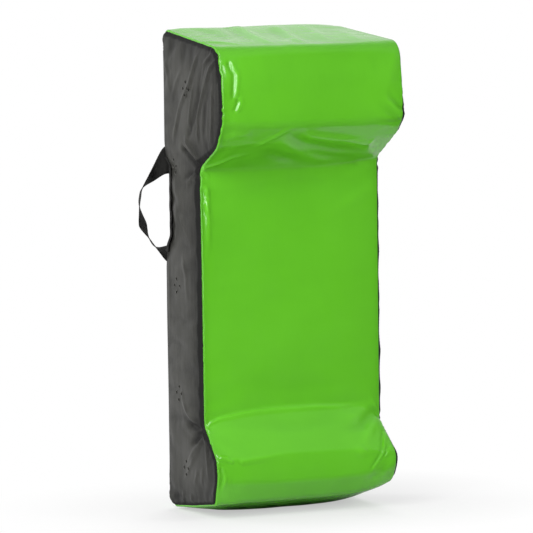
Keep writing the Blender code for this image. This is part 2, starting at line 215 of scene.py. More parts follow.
@dataclass(frozen=True)
class Span:
    """A stretch along which something holds, with soft ends.

    Args:
        low: Where it starts.
        high: Where it ends.
        soft: Length of each soft end.
    """

    low: float
    high: float
    soft: float

    def at(self, value: Array) -> Array:
        """How much it holds at each value, from 0 to 1."""
        return ease((value - self.low) / self.soft) * ease((self.high - value) / self.soft)


def bell(value: Array, middle: float, width: float) -> Array:
    """A bell curve of height one round a middle."""
    return np.exp(-((value - middle) / width) ** 2)


def unit(vector: Array) -> Array:
    """Vectors of length one."""
    return vector / np.linalg.norm(vector, axis=-1, keepdims=True)


def quarter_turn(vector: Array) -> Array:
    """A plane vector turned left by a quarter."""
    return np.stack((-vector[..., 1], vector[..., 0]), axis=-1)


def joined(*axes: Array | float) -> Array:
    """Places from their coordinates, each of them an array or one number for all."""
    return np.stack(np.broadcast_arrays(*axes), axis=-1)


def cloud(points: Array, scale: Triple, seed: float) -> Array:
    """Smooth noise between about -1 and 1 at each point.

    Args:
        points: Places, with three coordinates in the last axis.
        scale: Waves per metre along each axis.
        seed: Offset that picks another part of the noise.

    Returns:
        One value for each place.
    """
    flat = points.reshape(-1, 3) * np.array(scale) + seed
    values = np.fromiter((noise.noise(place) for place in flat), float, len(flat))
    return values.reshape(points.shape[:-1])


@dataclass(frozen=True)
class Swell:
    """Uneven swelling of a cloth, as smooth noise.

    Args:
        waves: Waves per metre along each axis.
        seed: Offset that picks a part of the noise.
        height: How far it swells or sinks.
        side_shift: How much the seed differs from side to side.
    """

    waves: Triple
    seed: float
    height: float
    side_shift: float = 0.0

    def at(self, points: Array, side: int = 0) -> Array:
        """Its height at each place of a side."""
        return cloud(points, self.waves, self.seed + side * self.side_shift) * self.height


@dataclass(frozen=True)
class Wave:
    """One of the waves that make a gathered seam uneven.

    Args:
        length: Distance from crest to crest.
        drift: How far, in radians, the crests wander.
        drift_rate: How fast they wander along the seam.
        phase: How much the seam's seed shifts them.
        share: Its share of the whole.
    """

    length: float
    drift: float
    drift_rate: float
    phase: float
    share: float

    def at(self, travel: Array, seed: float) -> Array:
        """Its height at each distance along a seam."""
        wander = self.drift * np.sin(travel * self.drift_rate + seed)
        return self.share * np.sin(math.tau * travel / self.length + wander + self.phase * seed)


ARC_ROOM = 0.47
"""The largest share of a straight that one corner's arc takes up."""
ARC_DENSITY = 1.7
"""How much closer the points lie on an arc than on a straight."""
FEWEST_ON_STRAIGHT, FEWEST_ON_ARC = 2, 4


def trace_outline(
    corners: tuple[Corner, ...], ends: tuple[Pair, ...], steps: list[int] | None,
    spacing: float,
) -> tuple[Array, list[int], list[int]]:
    """Points along an open outline whose corners are rounded.

    Args:
        corners: Its corners in order.
        ends: Its first and last place.
        steps: Points on each straight and each arc in turn, or None to work them out.
        spacing: Distance between points where steps is None.

    Returns:
        The points, the steps that were used, and the index at which each corner's arc starts.
    """
    places = np.array([ends[0], *[(c.behind / MM, c.height / MM) for c in corners], ends[1]])
    lengths = np.linalg.norm(np.diff(places, axis=0), axis=1)
    used, points, arc_starts = [], [], []
    last = places[0]
    for index, corner in enumerate(corners, start=1):
        into, out = unit(places[index] - places[index - 1]), unit(places[index + 1] - places[index])
        turn = math.atan2(into[0] * out[1] - into[1] * out[0], float(into @ out))
        room = ARC_ROOM * min(lengths[index - 1], lengths[index])
        reach = min(corner.radius / MM * math.tan(abs(turn) / 2), room)
        radius = reach / math.tan(abs(turn) / 2)
        begin = places[index] - into * reach
        centre = begin + quarter_turn(into) * radius * math.copysign(1, turn)
        straight = float(np.linalg.norm(begin - last))
        counts = steps[2 * index - 2:2 * index] if steps else [
            max(FEWEST_ON_STRAIGHT, math.ceil(straight / spacing)),
            max(FEWEST_ON_ARC, math.ceil(ARC_DENSITY * radius * abs(turn) / spacing))]
        used += counts
        points += [last + (begin - last) * k / counts[0] for k in range(counts[0])]
        arc_starts.append(len(points))
        arm = begin - centre
        for k in range(counts[1]):
            angle = turn * k / counts[1]
            cos, sin = math.cos(angle), math.sin(angle)
            points.append(centre + np.array((arm[0] * cos - arm[1] * sin, arm[0] * sin + arm[1] * cos)))
        last = places[index] + out * reach
    left_over = float(np.linalg.norm(places[-1] - last))
    count = steps[-1] if steps else max(FEWEST_ON_STRAIGHT, math.ceil(left_over / spacing))
    used.append(count)
    points += [last + (places[-1] - last) * k / count for k in range(count + 1)]
    return np.array(points), used, arc_starts


def even_line(low: float, high: float, spacing: float) -> Array:
    """Evenly spread values from low to high, about this far apart."""
    return np.linspace(low, high, max(2, round((high - low) / spacing)) + 1)


def columns_to_edges(half: float, rims: Pair, fine: float, coarse: float) -> Array:
    """Places across a panel, closer together along its left and its right edge.

    Args:
        half: Half its width.
        rims: Width of the strip of closer places at the left and at the right.
        fine: Distance between the closer places.
        coarse: Distance between the others.

    Returns:
        The places.
    """
    left, right = rims[0] - half, half - rims[1]
    return np.concatenate((
        even_line(-half, left, fine), even_line(left, right, coarse)[1:-1], even_line(right, half, fine)))


def inside(points: Array, outline: Array) -> Array:
    """Which points lie inside a closed outline.

    Args:
        points: The points, in the outline's plane.
        outline: Its corners in order.

    Returns:
        One truth value for each point.
    """
    crossings = np.zeros(len(points), int)
    for start, end in zip(outline, np.roll(outline, -1, axis=0)):
        spans = (start[1] > points[:, 1]) != (end[1] > points[:, 1])
        if start[1] != end[1]:
            at = start[0] + (points[:, 1] - start[1]) * (end[0] - start[0]) / (end[1] - start[1])
            crossings += spans & (points[:, 0] < at)
    return crossings % 2 == 1


def gap_to(points: Array, outline: Array) -> Array:
    """Distance of each point from a closed outline.

    Args:
        points: The points, in the outline's plane.
        outline: Its corners in order.

    Returns:
        The distances.
    """
    nearest = np.full(len(points), np.inf)
    for start, end in zip(outline, np.roll(outline, -1, axis=0)):
        way = end - start
        length = max(float(way @ way), TINY ** 2)
        held = np.clip(((points - start) @ way) / length, 0, 1)[:, None]
        nearest = np.minimum(nearest, np.linalg.norm(points - start - held * way, axis=1))
    return nearest


def into_outline(outline: Array) -> Array:
    """Directions from each place of a closed outline into it.

    Args:
        outline: Its places in order.

    Returns:
        One direction for each place, at right angles to the outline.
    """
    into = quarter_turn(unit(np.roll(outline, -1, axis=0) - np.roll(outline, 1, axis=0)))
    probe = outline[:1] + into[:1] * 0.004
    return into if inside(probe, outline)[0] else -into


def search_tree(places: Array) -> KDTree:
    """A search tree over places.

    Args:
        places: The places, which are numbered in order.

    Returns:
        The tree.
    """
    tree = KDTree(len(places))
    for index, place in enumerate(places):
        tree.insert(place, index)
    tree.balance()
    return tree


@dataclass(frozen=True)
class PadBox:
    """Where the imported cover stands, as its nodes say."""

    half_width: float
    front: float
    back: float
    height: float
    seam_low: float
    seam_high: float

    @classmethod
    def read(cls) -> "PadBox":
        """Read it from the frame.

        Returns:
            The pad's box.
        """
        low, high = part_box("front_panel")
        side_low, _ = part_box("left_side_panel")
        back_low, back_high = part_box("back_panel_left")
        return cls(-side_low.x, low.y, high.y, high.z, back_low.z, back_high.z)


def place_object(name: str, data: ID) -> Object:
    """An object in the scene, at the origin.

    Args:
        name: The object's name.
        data: Its mesh, light or curve.

    Returns:
        The object.
    """
    made = bpy.data.objects.new(name, data)
    bpy.context.scene.collection.objects.link(made)
    return made


def new_object(name: str, mesh: Mesh, material: Material) -> Object:
    """An object at the origin for a finished mesh."""
    mesh.materials.append(material)
    return place_object(name, mesh)


def mesh_from(name: str, form: bmesh.types.BMesh) -> Mesh:
    """A mesh from a form, which is freed.

    Args:
        name: The mesh's name.
        form: The form.

    Returns:
        The mesh.
    """
    mesh = bpy.data.meshes.new(name)
    form.to_mesh(mesh)
    form.free()
    return mesh


def mesh_of(
    name: str, points: Array, faces: list | Array, uv: Array | None = None,
) -> Mesh:
    """A smooth mesh from points and faces.

    Args:
        name: Its name.
        points: Its vertices.
        faces: Vertex numbers of each face.
        uv: A place on the cloth for each vertex, in metres.

    Returns:
        The mesh.
    """
    mesh = bpy.data.meshes.new(name)
    listed = faces.tolist() if isinstance(faces, Array) else faces
    mesh.from_pydata(points.reshape(-1, 3).tolist(), [], listed)
    mesh.shade_smooth()
    if uv is not None:
        layer = mesh.uv_layers.new(name="cloth")
        corners = np.zeros(len(mesh.loops), int)
        mesh.loops.foreach_get("vertex_index", corners)
        layer.data.foreach_set("uv", uv.reshape(-1, 2)[corners].ravel())
    mesh.update()
    return mesh


def grid_faces(rows: int, columns: int, flipped: bool = False) -> Array:
    """Faces of a grid of points, stored row by row.

    Args:
        rows: Its rows.
        columns: Its columns.
        flipped: Whether the faces look the other way.

    Returns:
        Four vertex numbers for each face.
    """
    start = (np.arange(rows - 1)[:, None] * columns + np.arange(columns - 1)).ravel()
    corners = (start, start + columns, start + columns + 1, start + 1)
    return np.stack(corners[::-1] if flipped else corners, axis=1)


def paint(mesh: Mesh, name: str, values: Array) -> None:
    """Store one number for each vertex."""
    layer = mesh.attributes.new(name, "FLOAT", "POINT")
    layer.data.foreach_set("value", values.astype(np.float32).ravel())


def thicken(piece: Object, thickness: float) -> None:
    """Give a sheet its thickness behind its faces, and keep it as plain mesh.

    Args:
        piece: The sheet.
        thickness: Its thickness.
    """
    wall = piece.modifiers.new("thickness", "SOLIDIFY")
    wall.thickness = thickness
    wall.offset = -1.0
    wall.use_even_offset = False
    freeze(piece)


def freeze(piece: Object) -> None:
    """Apply every modifier of a piece, so that only its plain mesh is left.

    Args:
        piece: The piece.
    """
    depsgraph = bpy.context.evaluated_depsgraph_get()
    mesh = bpy.data.meshes.new_from_object(piece.evaluated_get(depsgraph))
    mesh.name = piece.name
    piece.modifiers.clear()
    piece.data = mesh


def face_out(mesh: Mesh, out: Triple | None = None) -> None:
    """Turn a mesh's faces outwards.

    Args:
        mesh: The mesh.
        out: For an open sheet, the direction that most of it looks in.
    """
    form = bmesh.new()
    form.from_mesh(mesh)
    bmesh.ops.recalc_face_normals(form, faces=form.faces)
    if out is not None:
        whole = sum((face.normal * face.calc_area() for face in form.faces), Vector())
        if whole.dot(Vector(out)) < 0:
            bmesh.ops.reverse_faces(form, faces=form.faces)
    form.to_mesh(mesh)
    form.free()


def declare(piece: Object, slot: str, *nodes: str, fill: float | None = None) -> None:
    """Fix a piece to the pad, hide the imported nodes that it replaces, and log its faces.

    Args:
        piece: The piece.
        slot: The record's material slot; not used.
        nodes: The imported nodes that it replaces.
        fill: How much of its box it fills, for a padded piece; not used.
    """
    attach(piece, "pad")
    if nodes:
        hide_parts(*nodes)
    LOG.info("%s: %d faces", piece.name, len(piece.data.polygons))


FRONT_FOLDS = (
    Fold(((-20, 651), (17, 642), (73, 634), (118, 626), (146, 613)), 10.5, 4.6, 0.15, 0.15, 0.3),
    Fold(((-85, 639), (-45, 638), (-10, 617), (42, 598), (118, 588)), 12, 3, 0.15, 0.25, 0.4),
    Fold(((-50, 650), (0, 630), (60, 617), (115, 609)), 12, -2.2, 0.0, 0.3, 0.3),
    Fold(((-97, 626), (-64, 645), (-36, 664)), 4.6, 3, 0.2, 0.3, 0.3),
    Fold(((-164, 588), (-143, 600), (-123, 610), (-86, 616)), 5.5, 3.4, 0.2, 0.05, 0.5),
    Fold(((-158, 642), (-139, 651), (-105, 653)), 8.5, 2.4, 0.2, 0.2, 0.5),
    Fold(((-85, 622), (-25, 604), (20, 597)), 13, -2.6, 0.0, 0.3, 0.4),
    Fold(((117, 621), (126, 635)), 5, 1.6, 0.3, 0.3, 0.3),
    Fold(((118, 590), (153, 586)), 5, 2, 0.3, 0.3, 0.2),
    Fold(((166, 659), (106, 665)), 6, -1.8, 0.0, 0.05, 0.6),
    Fold(((167, 677), (128, 722)), 5.5, -3, 0.2, 0.05, 0.6),
    Fold(((163, 674), (118, 711)), 5, 2, 0.2, 0.05, 0.6),
    Fold(((161, 660), (112, 700)), 5.8, -2.4, 0.2, 0.05, 0.6),
    Fold(((-147, 776), (-144.5, 762), (-139, 750), (-141, 739), (-143, 722), (-142.5, 708)), 5, 2, -1.0, 0.1,
         0.2),
    Fold(((-138, 714), (-135, 706), (-139, 696), (-144, 687)), 4.4, 1.8, -1.0, 0.2, 0.25),
    Fold(((-159, 772), (-159.5, 750)), 4, -1.6, 0.0, 0.4, 0.4),
    Fold(((-164, 585), (-150, 573)), 4, 2, -0.8, 0.1, 0.4),
    Fold(((-163, 563), (-154.5, 543)), 4, 2.1, -0.8, 0.15, 0.3),
    Fold(((-159.5, 533), (-155, 510)), 4.2, 2.3, -0.8, 0.2, 0.3),
    Fold(((-157.5, 566), (-156, 500), (-156.5, 420)), 6, 2.6, -0.9, 0.1, 0.6),
    Fold(((-162, 587), (-120, 562), (-60, 548)), 13, 1.4, 0.3, 0.1, 0.8),
    Fold(((164, 549), (119, 524), (45, 495)), 11, 1.6, 0.3, 0.1, 0.7),
    Fold(((164, 585), (120, 571), (80, 566)), 9, 1.4, 0.3, 0.1, 0.7),
    Fold(((-174, 148), (-153, 162), (-119, 170), (-65, 176), (9, 177.5), (83, 175), (158, 168)), 4.2, 3.4,
         0.2, 0.1, 0.4),
    Fold(((-163, 153), (-155, 147)), 2.6, 1.4, 0.3, 0.2, 0.4),
    Fold(((-168, 110), (-158, 107)), 4, -1.8, 0.0, 0.2, 0.3),
    Fold(((-160, 107.5), (-147, 103.5), (-136, 95)), 3.4, 2.4, -0.6, 0.2, 0.2),
    Fold(((-124.5, 104), (-122.5, 93)), 3.6, 1.9, -0.8, 0.3, 0.3),
    Fold(((-134, 98.5), (-90, 104), (-40, 107)), 6, 2.4, 0.3, 0.2, 0.7),
    Fold(((-157, 94), (-153.5, 72), (-157, 48)), 3.6, 1.9, -0.8, 0.3, 0.3),
    Fold(((158, 130), (142, 107), (128, 84), (114, 64)), 3.4, 1.7, -0.9, 0.1, 0.15),
    Fold(((158, 108), (147, 100), (140, 88)), 3, 1.5, -0.9, 0.15, 0.3),
    Fold(((110, 109), (94, 89)), 12, 2, 0.3, 0.3, 0.5),
    Fold(((161, 170), (112, 156), (50, 150)), 11, 2.6, 0.2, 0.08, 0.6),
    Fold(((161, 160), (117, 141), (60, 130)), 10, -3, 0.2, 0.08, 0.5),
    Fold(((161, 150), (120, 124), (100, 100)), 9, 3, 0.2, 0.08, 0.5),
    Fold(((150, 80), (126, 58), (112, 45)), 8, -1.6, 0.2, 0.3, 0.4),
)
TOP_FOLDS = (
    Fold(((-30, 120), (-46, 20), (-62, -100)), 11, 2.6, 0.3, 0.1, 0.2),
    Fold(((-55, 115), (-75, 20), (-85, -70)), 12, -2.4, 0.0, 0.1, 0.3),
    Fold(((35, 110), (15, 0), (-5, -106)), 11, 2.2, 0.3, 0.2, 0.2),
    Fold(((12, 80), (-10, 0), (-25, -80)), 11, -1.8, 0.0, 0.3, 0.3),
    Fold(((82, 105), (70, 0), (50, -90)), 12, 1.6, 0.3, 0.2, 0.3),
    Fold(((125, 60), (118, -20), (104, -95)), 12, 1.4, 0.3, 0.3, 0.3),
    Fold(((-120, 110), (-108, 30), (-118, -60)), 16, -2, 0.0, 0.2, 0.3),
    Fold(((-162, -30), (-130, -55), (-108, -104)), 9, 1.8, 0.3, 0.05, 0.4),
)
SIDE_FOLDS = (
    Fold(((88, 789), (96.5, 777), (110, 758), (123, 731), (169.5, 686), (186, 655), (204, 615)), 5.6, 2.1,
         0.4, 0.15, 0.25),
    Fold(((38, 787), (66, 764), (77, 743), (91, 714)), 4.2, 1.7, 0.4, 0.15, 0.4),
    Fold(((24, 777), (43, 758), (56, 737), (78.5, 703), (92, 675), (97, 648), (94, 622)), 4.6, 2.1, 0.4,
         0.12, 0.2),
    Fold(((30, 737), (34, 719), (37, 672), (43.5, 638), (62, 618)), 4, 1.5, 0.3, 0.2, 0.3),
    Fold(((108, 735), (120, 700), (128, 668), (129, 640)), 3.6, 1, 0.4, 0.2, 0.4),
    Fold(((152, 642), (140, 633), (119, 619), (94, 602)), 4, 3, 0.1, 0.25, 0.05),
    Fold(((166, 627), (145, 617), (120, 605), (98, 594)), 4.8, -5.6, 0.3, 0.25, 0.05),
    Fold(((152, 758), (187, 724), (214, 690)), 5.5, 1.1, 0.3, 0.3, 0.4),
    Fold(((232, 774), (205, 706)), 7, 1.1, 0.3, 0.3, 0.4),
    Fold(((67.5, 774), (81, 739), (95, 705), (122, 662), (144, 627)), 6, -2, 0.0, 0.2, 0.2),
    Fold(((42, 742), (62, 700), (70, 660), (75, 630)), 6, -1.6, 0.0, 0.3, 0.3),
    Fold(((98, 589), (116.5, 583), (138, 565), (156, 540)), 4.2, 1.5, -0.2, 0.05, 0.5),
    Fold(((102, 580), (130, 578), (160, 566)), 5, -2.4, 0.0, 0.05, 0.5),
    Fold(((100, 571), (121, 573), (146, 575)), 4.2, 1.4, 0.1, 0.05, 0.5),
    Fold(((178, 512), (158, 490), (139.5, 469)), 5, 0.9, 0.1, 0.3, 0.4),
    Fold(((168, 450), (150, 400), (146, 350)), 6.5, 1, 0.3, 0.3, 0.5),
    Fold(((230, 440), (224, 380), (222, 290)), 8, 1, 0.3, 0.3, 0.5),
    Fold(((100, 148), (129, 162), (153.5, 174), (170, 193), (178, 226)), 5, 1.7, -0.2, 0.05, 0.5),
    Fold(((100, 146), (142, 152), (180, 167)), 6.2, -4.4, 0.2, 0.05, 0.5),
    Fold(((100, 144.5), (134, 139), (170, 139)), 5, 1.5, 0.1, 0.05, 0.5),
    Fold(((101, 142), (123, 128), (148, 116)), 6, -4.6, 0.2, 0.05, 0.5),
    Fold(((100, 143), (113, 126), (144, 97), (170, 73.5)), 4.6, 1.8, 0.2, 0.05, 0.4),
    Fold(((103, 132), (118, 112), (157, 71), (188, 49)), 4.8, 1.4, 0.2, 0.1, 0.4),
    Fold(((96, 140), (86, 118), (79, 95), (78, 62)), 3.8, 1.4, 0.1, 0.05, 0.4),
    Fold(((115, 81), (133, 46)), 5, 1.1, 0.3, 0.3, 0.4),
    Fold(((95, 88), (106.5, 46)), 4.8, 1, 0.3, 0.3, 0.4),
    Fold(((198, 32), (228, 12)), 5.5, -1, 0.0, 0.4, 0.1),
    Fold(((180, 40), (190, 16)), 5, 1.2, 0.1, 0.4, 0.1),
    Fold(((150, 36), (152, 20)), 5, 1, 0.1, 0.4, 0.1),
)


@dataclass
class CoverForm:
    """The sewn cover's surface, from which its panels and the filling take their shape.

    Args:
        fine_rims: Width of the strips of closer points at the front panel's left and right edge.
        edge_shares: How the sides' outline takes over towards the seams, as shares and powers.
        upper_wedge: Heights from which the upper wedge's gathers set in.
        strapped: Heights between which the straps pull on the back edges.
        knot: Height and half width of the pinch at a strap's upper end.
        pull_reach: How far a strap's pull reaches from the edge, and from the back.
        strap_pull: How far a strap pulls its edge inwards, and forwards.
    """

    pad: PadBox
    spacing: float = 0.0032
    seam_inset: float = 0.0035
    seam_round: float = 0.0032
    flap: float = 0.0050
    flap_steps: int = 3
    fine_rims: Pair = (0.030, 0.054)
    fine_spacing: float = 0.0014
    edge_shares: tuple[tuple[float, int], ...] = ((0.75, 3), (0.25, 10))
    waves: tuple[Wave, ...] = (Wave(0.0172, 2.1, 23, 1, 0.45), Wave(0.0291, 1.7, 11, 2, 0.55))
    upper_wedge: Ramp = Ramp(0.560, 0.060)
    lower_wedge: Ramp = Ramp(0.170, -0.040)
    plain_gathers: float = 0.35
    strapped: Span = Span(0.440, 0.600, 0.030)
    knot: Pair = (0.588, 0.012)
    pull_reach: Pair = (0.030, 0.050)
    strap_pull: Pair = (0.0060, 0.0050)
    knot_pull: Pair = (0.0035, 0.0030)

    def __post_init__(self) -> None:
        """Trace the three outlines with the same steps."""
        behind = self.pad.back - self.pad.front
        ends = ((behind, self.pad.seam_high), (behind, self.pad.seam_low))
        self.middle, steps, self.arcs = trace_outline(MIDDLE_OUTLINE, ends, None, self.spacing)
        self.edges = {
            side: trace_outline(corners, ends, steps, self.spacing)[0]
            for side, corners in ((LEFT, LEFT_OUTLINE), (RIGHT, RIGHT_OUTLINE))}
        gaps = np.linalg.norm(np.diff(self.middle, axis=0), axis=1)
        self.travel = np.concatenate(([0.0], np.cumsum(gaps)))

    @property
    def seam_x(self) -> float:
        """How far from the middle the seams lie."""
        return self.pad.half_width - self.seam_inset

    def surface(self, across: Array) -> Array:
        """The plain cover at each row of the outline and each place across.

        Args:
            across: Places across the pad.

        Returns:
            Points, by row and column.
        """
        share = np.abs(across) / self.seam_x
        weight = sum(part * share ** power for part, power in self.edge_shares)[None, :, None]
        edge = np.where((across < 0)[None, :, None], self.edges[LEFT][:, None], self.edges[RIGHT][:, None])
        outline = self.middle[:, None] * (1 - weight) + edge * weight
        return joined(across, outline[..., 0] + self.pad.front, outline[..., 1])

    def waver(self, travel: Array, seed: float) -> Array:
        """Uneven waves of a gathered seam, between about -1 and 1."""
        strength = 0.65 + 0.35 * np.sin(travel * 9.0 + seed)
        return sum(wave.at(travel, seed) for wave in self.waves) * strength

    def gathering(self, height: Array) -> Array:
        """How much the side seams are gathered at each height: most round the two wedges."""
        wedges = np.maximum(self.upper_wedge.at(height), self.lower_wedge.at(height))
        return self.plain_gathers + (1 - self.plain_gathers) * wedges

    def round_off(self, gap: Array) -> Array:
        """How far a panel sinks this near to its seam."""
        close = np.clip(1 - gap / self.seam_round, 0, 1)
        return self.seam_round * (1 - np.sqrt(1 - close ** 2))

    def pulled(self, points: Array) -> Array:
        """Points of the cover after the straps have pulled on its back edges.

        Args:
            points: The points before.

        Returns:
            The points after.
        """
        wide, deep, height = points[..., 0], points[..., 1], points[..., 2]
        held, knot = self.strapped.at(height), bell(height, *self.knot)
        near_edge = bell(np.abs(wide), self.pad.half_width, self.pull_reach[0])
        pull = near_edge * bell(deep, self.pad.back, self.pull_reach[1])
        inwards, forwards = (
            pull * (strap * held + end * knot) for strap, end in zip(self.strap_pull, self.knot_pull))
        moved = points.copy()
        moved[..., 0] -= np.sign(wide) * inwards
        moved[..., 1] -= forwards
        return moved


def surface_normals(points: Array) -> Array:
    """Outward normals of a grid whose rows run down the front and whose columns run to the right.

    Args:
        points: The grid.

    Returns:
        One normal for each point.
    """
    down = np.gradient(points, axis=0)
    right = np.gradient(points, axis=1)
    return unit(np.cross(down, right))


def with_flaps(
    points: Array, normals: Array, depth: float, steps: int, inward: Array,
) -> tuple[Array, tuple[Array, Array]]:
    """A grid with turned-in seam allowances on all four edges.

    Args:
        points: The grid's points.
        normals: Its outward normals.
        depth: Depth of the allowance.
        steps: Rows of points in it.
        inward: Direction along the panel, away from the nearest edge, for each point.

    Returns:
        The larger grid, and the rows and columns that its points come from.
    """
    rows, columns = points.shape[:2]
    row = np.clip(np.arange(-steps, rows + steps), 0, rows - 1)
    column = np.clip(np.arange(-steps, columns + steps), 0, columns - 1)
    beyond_row = np.abs(np.arange(-steps, rows + steps) - row)
    beyond_column = np.abs(np.arange(-steps, columns + steps) - column)
    ring = np.maximum(beyond_row[:, None], beyond_column[None, :])[..., None]
    taken = np.ix_(row, column)
    turn_in = (inward[taken] - 1.4 * normals[taken]) * depth / 1.7
    return points[taken] + turn_in * ring / steps, taken


@dataclass
class SettledCloth:
    """How the cover's cloth puckers between its seams, found by simulating the whole cover as cloth.

    The cover is remeshed, held along its seams, made a little too large and blown up from inside. What
    remains after its broad swelling is taken away is the relief of small gathers and rolls.

    Args:
        slack: Share by which the cloth is too large.
        blur_rounds: Rounds of smoothing that find the broad swelling.
        neighbours: How many simulated points each place takes its relief from.
        soft_gap: Added to their distances, so that none counts alone.
    """

    form: CoverForm
    voxel: float = 0.0055
    pressure: float = 4.0
    slack: float = 0.035
    last_frame: int = 20
    cap: float = 0.0022
    blur_rounds: int = 45
    gain: float = 0.7
    held_width: float = 0.006
    stations: int = 57
    neighbours: int = 4
    soft_gap: float = 0.0008
    finder: KDTree | None = None
    relief: Array | None = None

    def settle(self) -> None:
        """Run the simulation and keep its relief."""
        piece = self.blank()
        rest = self.places(piece.data)
        normals = np.array([tuple(vertex.normal) for vertex in piece.data.vertices])
        self.hold_seams(piece, rest)
        self.blow_up(piece)
        swelling = ((self.places(piece.data) - rest) * normals).sum(axis=1)
        broad = self.blurred(piece.data, swelling, self.blur_rounds)
        fine = self.blurred(piece.data, swelling - broad, 1)
        self.relief = self.cap * np.tanh(self.gain * fine / self.cap)
        self.finder = search_tree(rest)
        LOG.info("cloth simulation: %d points, relief up to %.2f mm", len(rest), MM * abs(self.relief).max())
        mesh = piece.data
        bpy.data.objects.remove(piece)
        bpy.data.meshes.remove(mesh)

    def blank(self) -> Object:
        """The closed cover in even faces.

        Returns:
            The object.
        """
        solid = closed_cover(self.form, 0.0, self.stations, 2)
        piece = place_object("cover_blank", mesh_from("cover_blank", solid))
        remesh = piece.modifiers.new("even_faces", "REMESH")
        remesh.mode = "VOXEL"
        remesh.voxel_size = self.voxel
        freeze(piece)
        return piece

    @staticmethod
    def places(mesh: Mesh) -> Array:
        """The places of a mesh's vertices.

        Args:
            mesh: The mesh.

        Returns:
            One row for each vertex.
        """
        flat = np.zeros(len(mesh.vertices) * 3, np.float32)
        mesh.vertices.foreach_get("co", flat)
        return flat.reshape(-1, 3).astype(float)

    def hold_seams(self, piece: Object, rest: Array) -> None:
        """Pin the cloth along the two side seams and round the back.

        Args:
            piece: The cloth.
            rest: The places of its vertices.
        """
        pad = self.form.pad
        heights = even_line(pad.seam_low, pad.seam_high, self.voxel)
        widths = even_line(-pad.half_width, pad.half_width, self.voxel)
        lines = [joined(widths, pad.back, height) for height in (pad.seam_low, pad.seam_high)]
        for side, edge in self.form.edges.items():
            wide = side * pad.half_width
            lines += [joined(wide, edge[:, 0] + pad.front, edge[:, 1]), joined(wide, pad.back, heights)]
        finder = search_tree(np.concatenate(lines))
        held = piece.vertex_groups.new(name="seams")
        for index, place in enumerate(rest):
            if finder.find(place)[2] < self.held_width:
                held.add([index], 1.0, "REPLACE")

    def blow_up(self, piece: Object) -> None:
        """Simulate the cloth and keep its last shape.

        Args:
            piece: The cloth.
        """
        cloth = piece.modifiers.new("cloth", "CLOTH")
        wanted = {
            "quality": 5, "mass": 0.3, "tension_stiffness": 15, "compression_stiffness": 15,
            "shear_stiffness": 5, "bending_stiffness": 0.4, "shrink_min": -self.slack,
            "vertex_group_mass": "seams", "use_pressure": True, "uniform_pressure_force": self.pressure,
        }
        for name, value in wanted.items():
            setattr(cloth.settings, name, value)
        cloth.settings.effector_weights.gravity = 0.0
        cloth.collision_settings.use_collision = False
        cloth.collision_settings.use_self_collision = False
        cloth.point_cache.frame_start = 1
        cloth.point_cache.frame_end = self.last_frame
        scene = bpy.context.scene
        for frame in range(1, self.last_frame + 1):
            scene.frame_set(frame)
        freeze(piece)
        scene.frame_set(1)

    @staticmethod
    def blurred(mesh: Mesh, values: Array, rounds: int) -> Array:
        """Values on the vertices, averaged with their neighbours again and again.

        Args:
            mesh: The mesh.
            values: The values.
            rounds: How often.

        Returns:
            The smoother values.
        """
        ends = np.zeros(len(mesh.edges) * 2, int)
        mesh.edges.foreach_get("vertices", ends)
        first, second = ends.reshape(-1, 2).T
        count = len(mesh.vertices)
        neighbours = np.bincount(first, minlength=count) + np.bincount(second, minlength=count)
        for _ in range(rounds):
            total = np.bincount(first, values[second], count) + np.bincount(second, values[first], count)
            values = (values + total) / (1 + neighbours)
        return values

    def lift(self, points: Array) -> Array:
        """The relief at some places of the cover.

        Args:
            points: The places, with three coordinates in the last axis.

        Returns:
            Heights along the cover's normals.
        """
        if self.finder is None:
            return np.zeros(points.shape[:-1])
        found = []
        for place in points.reshape(-1, 3):
            near = self.finder.find_n(place, self.neighbours)
            shares = [1 / (gap + self.soft_gap) for _, _, gap in near]
            total = sum(share * self.relief[index] for share, (_, index, _) in zip(shares, near))
            found.append(total / sum(shares))
        return np.array(found).reshape(points.shape[:-1])


def closed_cover(form: CoverForm, inset: float, stations: int, step: int) -> bmesh.types.BMesh:
    """One closed solid, on the plain cover or a little inside it.

    Args:
        form: The plain cover.
        inset: How far inside it lies.
        stations: Lines of points across the pad.
        step: Rows of the outline from one line of points to the next.

    Returns:
        The solid.
    """
    pad = form.pad
    spread = np.linspace(-1, 1, stations)
    points = form.surface(spread * (form.seam_x - 0.002))[::step]
    inner = points - surface_normals(points) * inset
    inner[..., 0] = spread[None, :] * (pad.half_width - inset)
    inner = form.pulled(inner)
    inner[..., 1] = np.minimum(inner[..., 1], pad.back - inset)
    made = bmesh.new()
    rows = [[made.verts.new(place) for place in row] for row in inner]
    for row, after in zip(rows, rows[1:] + rows[:1]):
        for column in range(stations - 1):
            made.faces.new((row[column], after[column], after[column + 1], row[column + 1]))
    made.faces.new([row[0] for row in reversed(rows)])
    made.faces.new([row[-1] for row in rows])
    return made


@dataclass(frozen=True)
class SideLook:
    """How one side of the cover is folded and gathered.

    Args:
        fold_stretch: How far the side's folds spread in depth.
        fold_shift: How far the side's folds are moved back and up.
        roll: Depth of the roll along the front seam.
        upper_less: How much less deep it is by the upper wedge.
        upper: Heights from which that is so.
        foot_less: How much less deep it is at the foot.
    """

    fold_gain: float
    fold_stretch: float
    fold_shift: float
    seed: float
    gathers: float
    front_seed: float
    front_gathers: float
    roll: float
    upper_less: float
    upper: Ramp
    foot_less: float


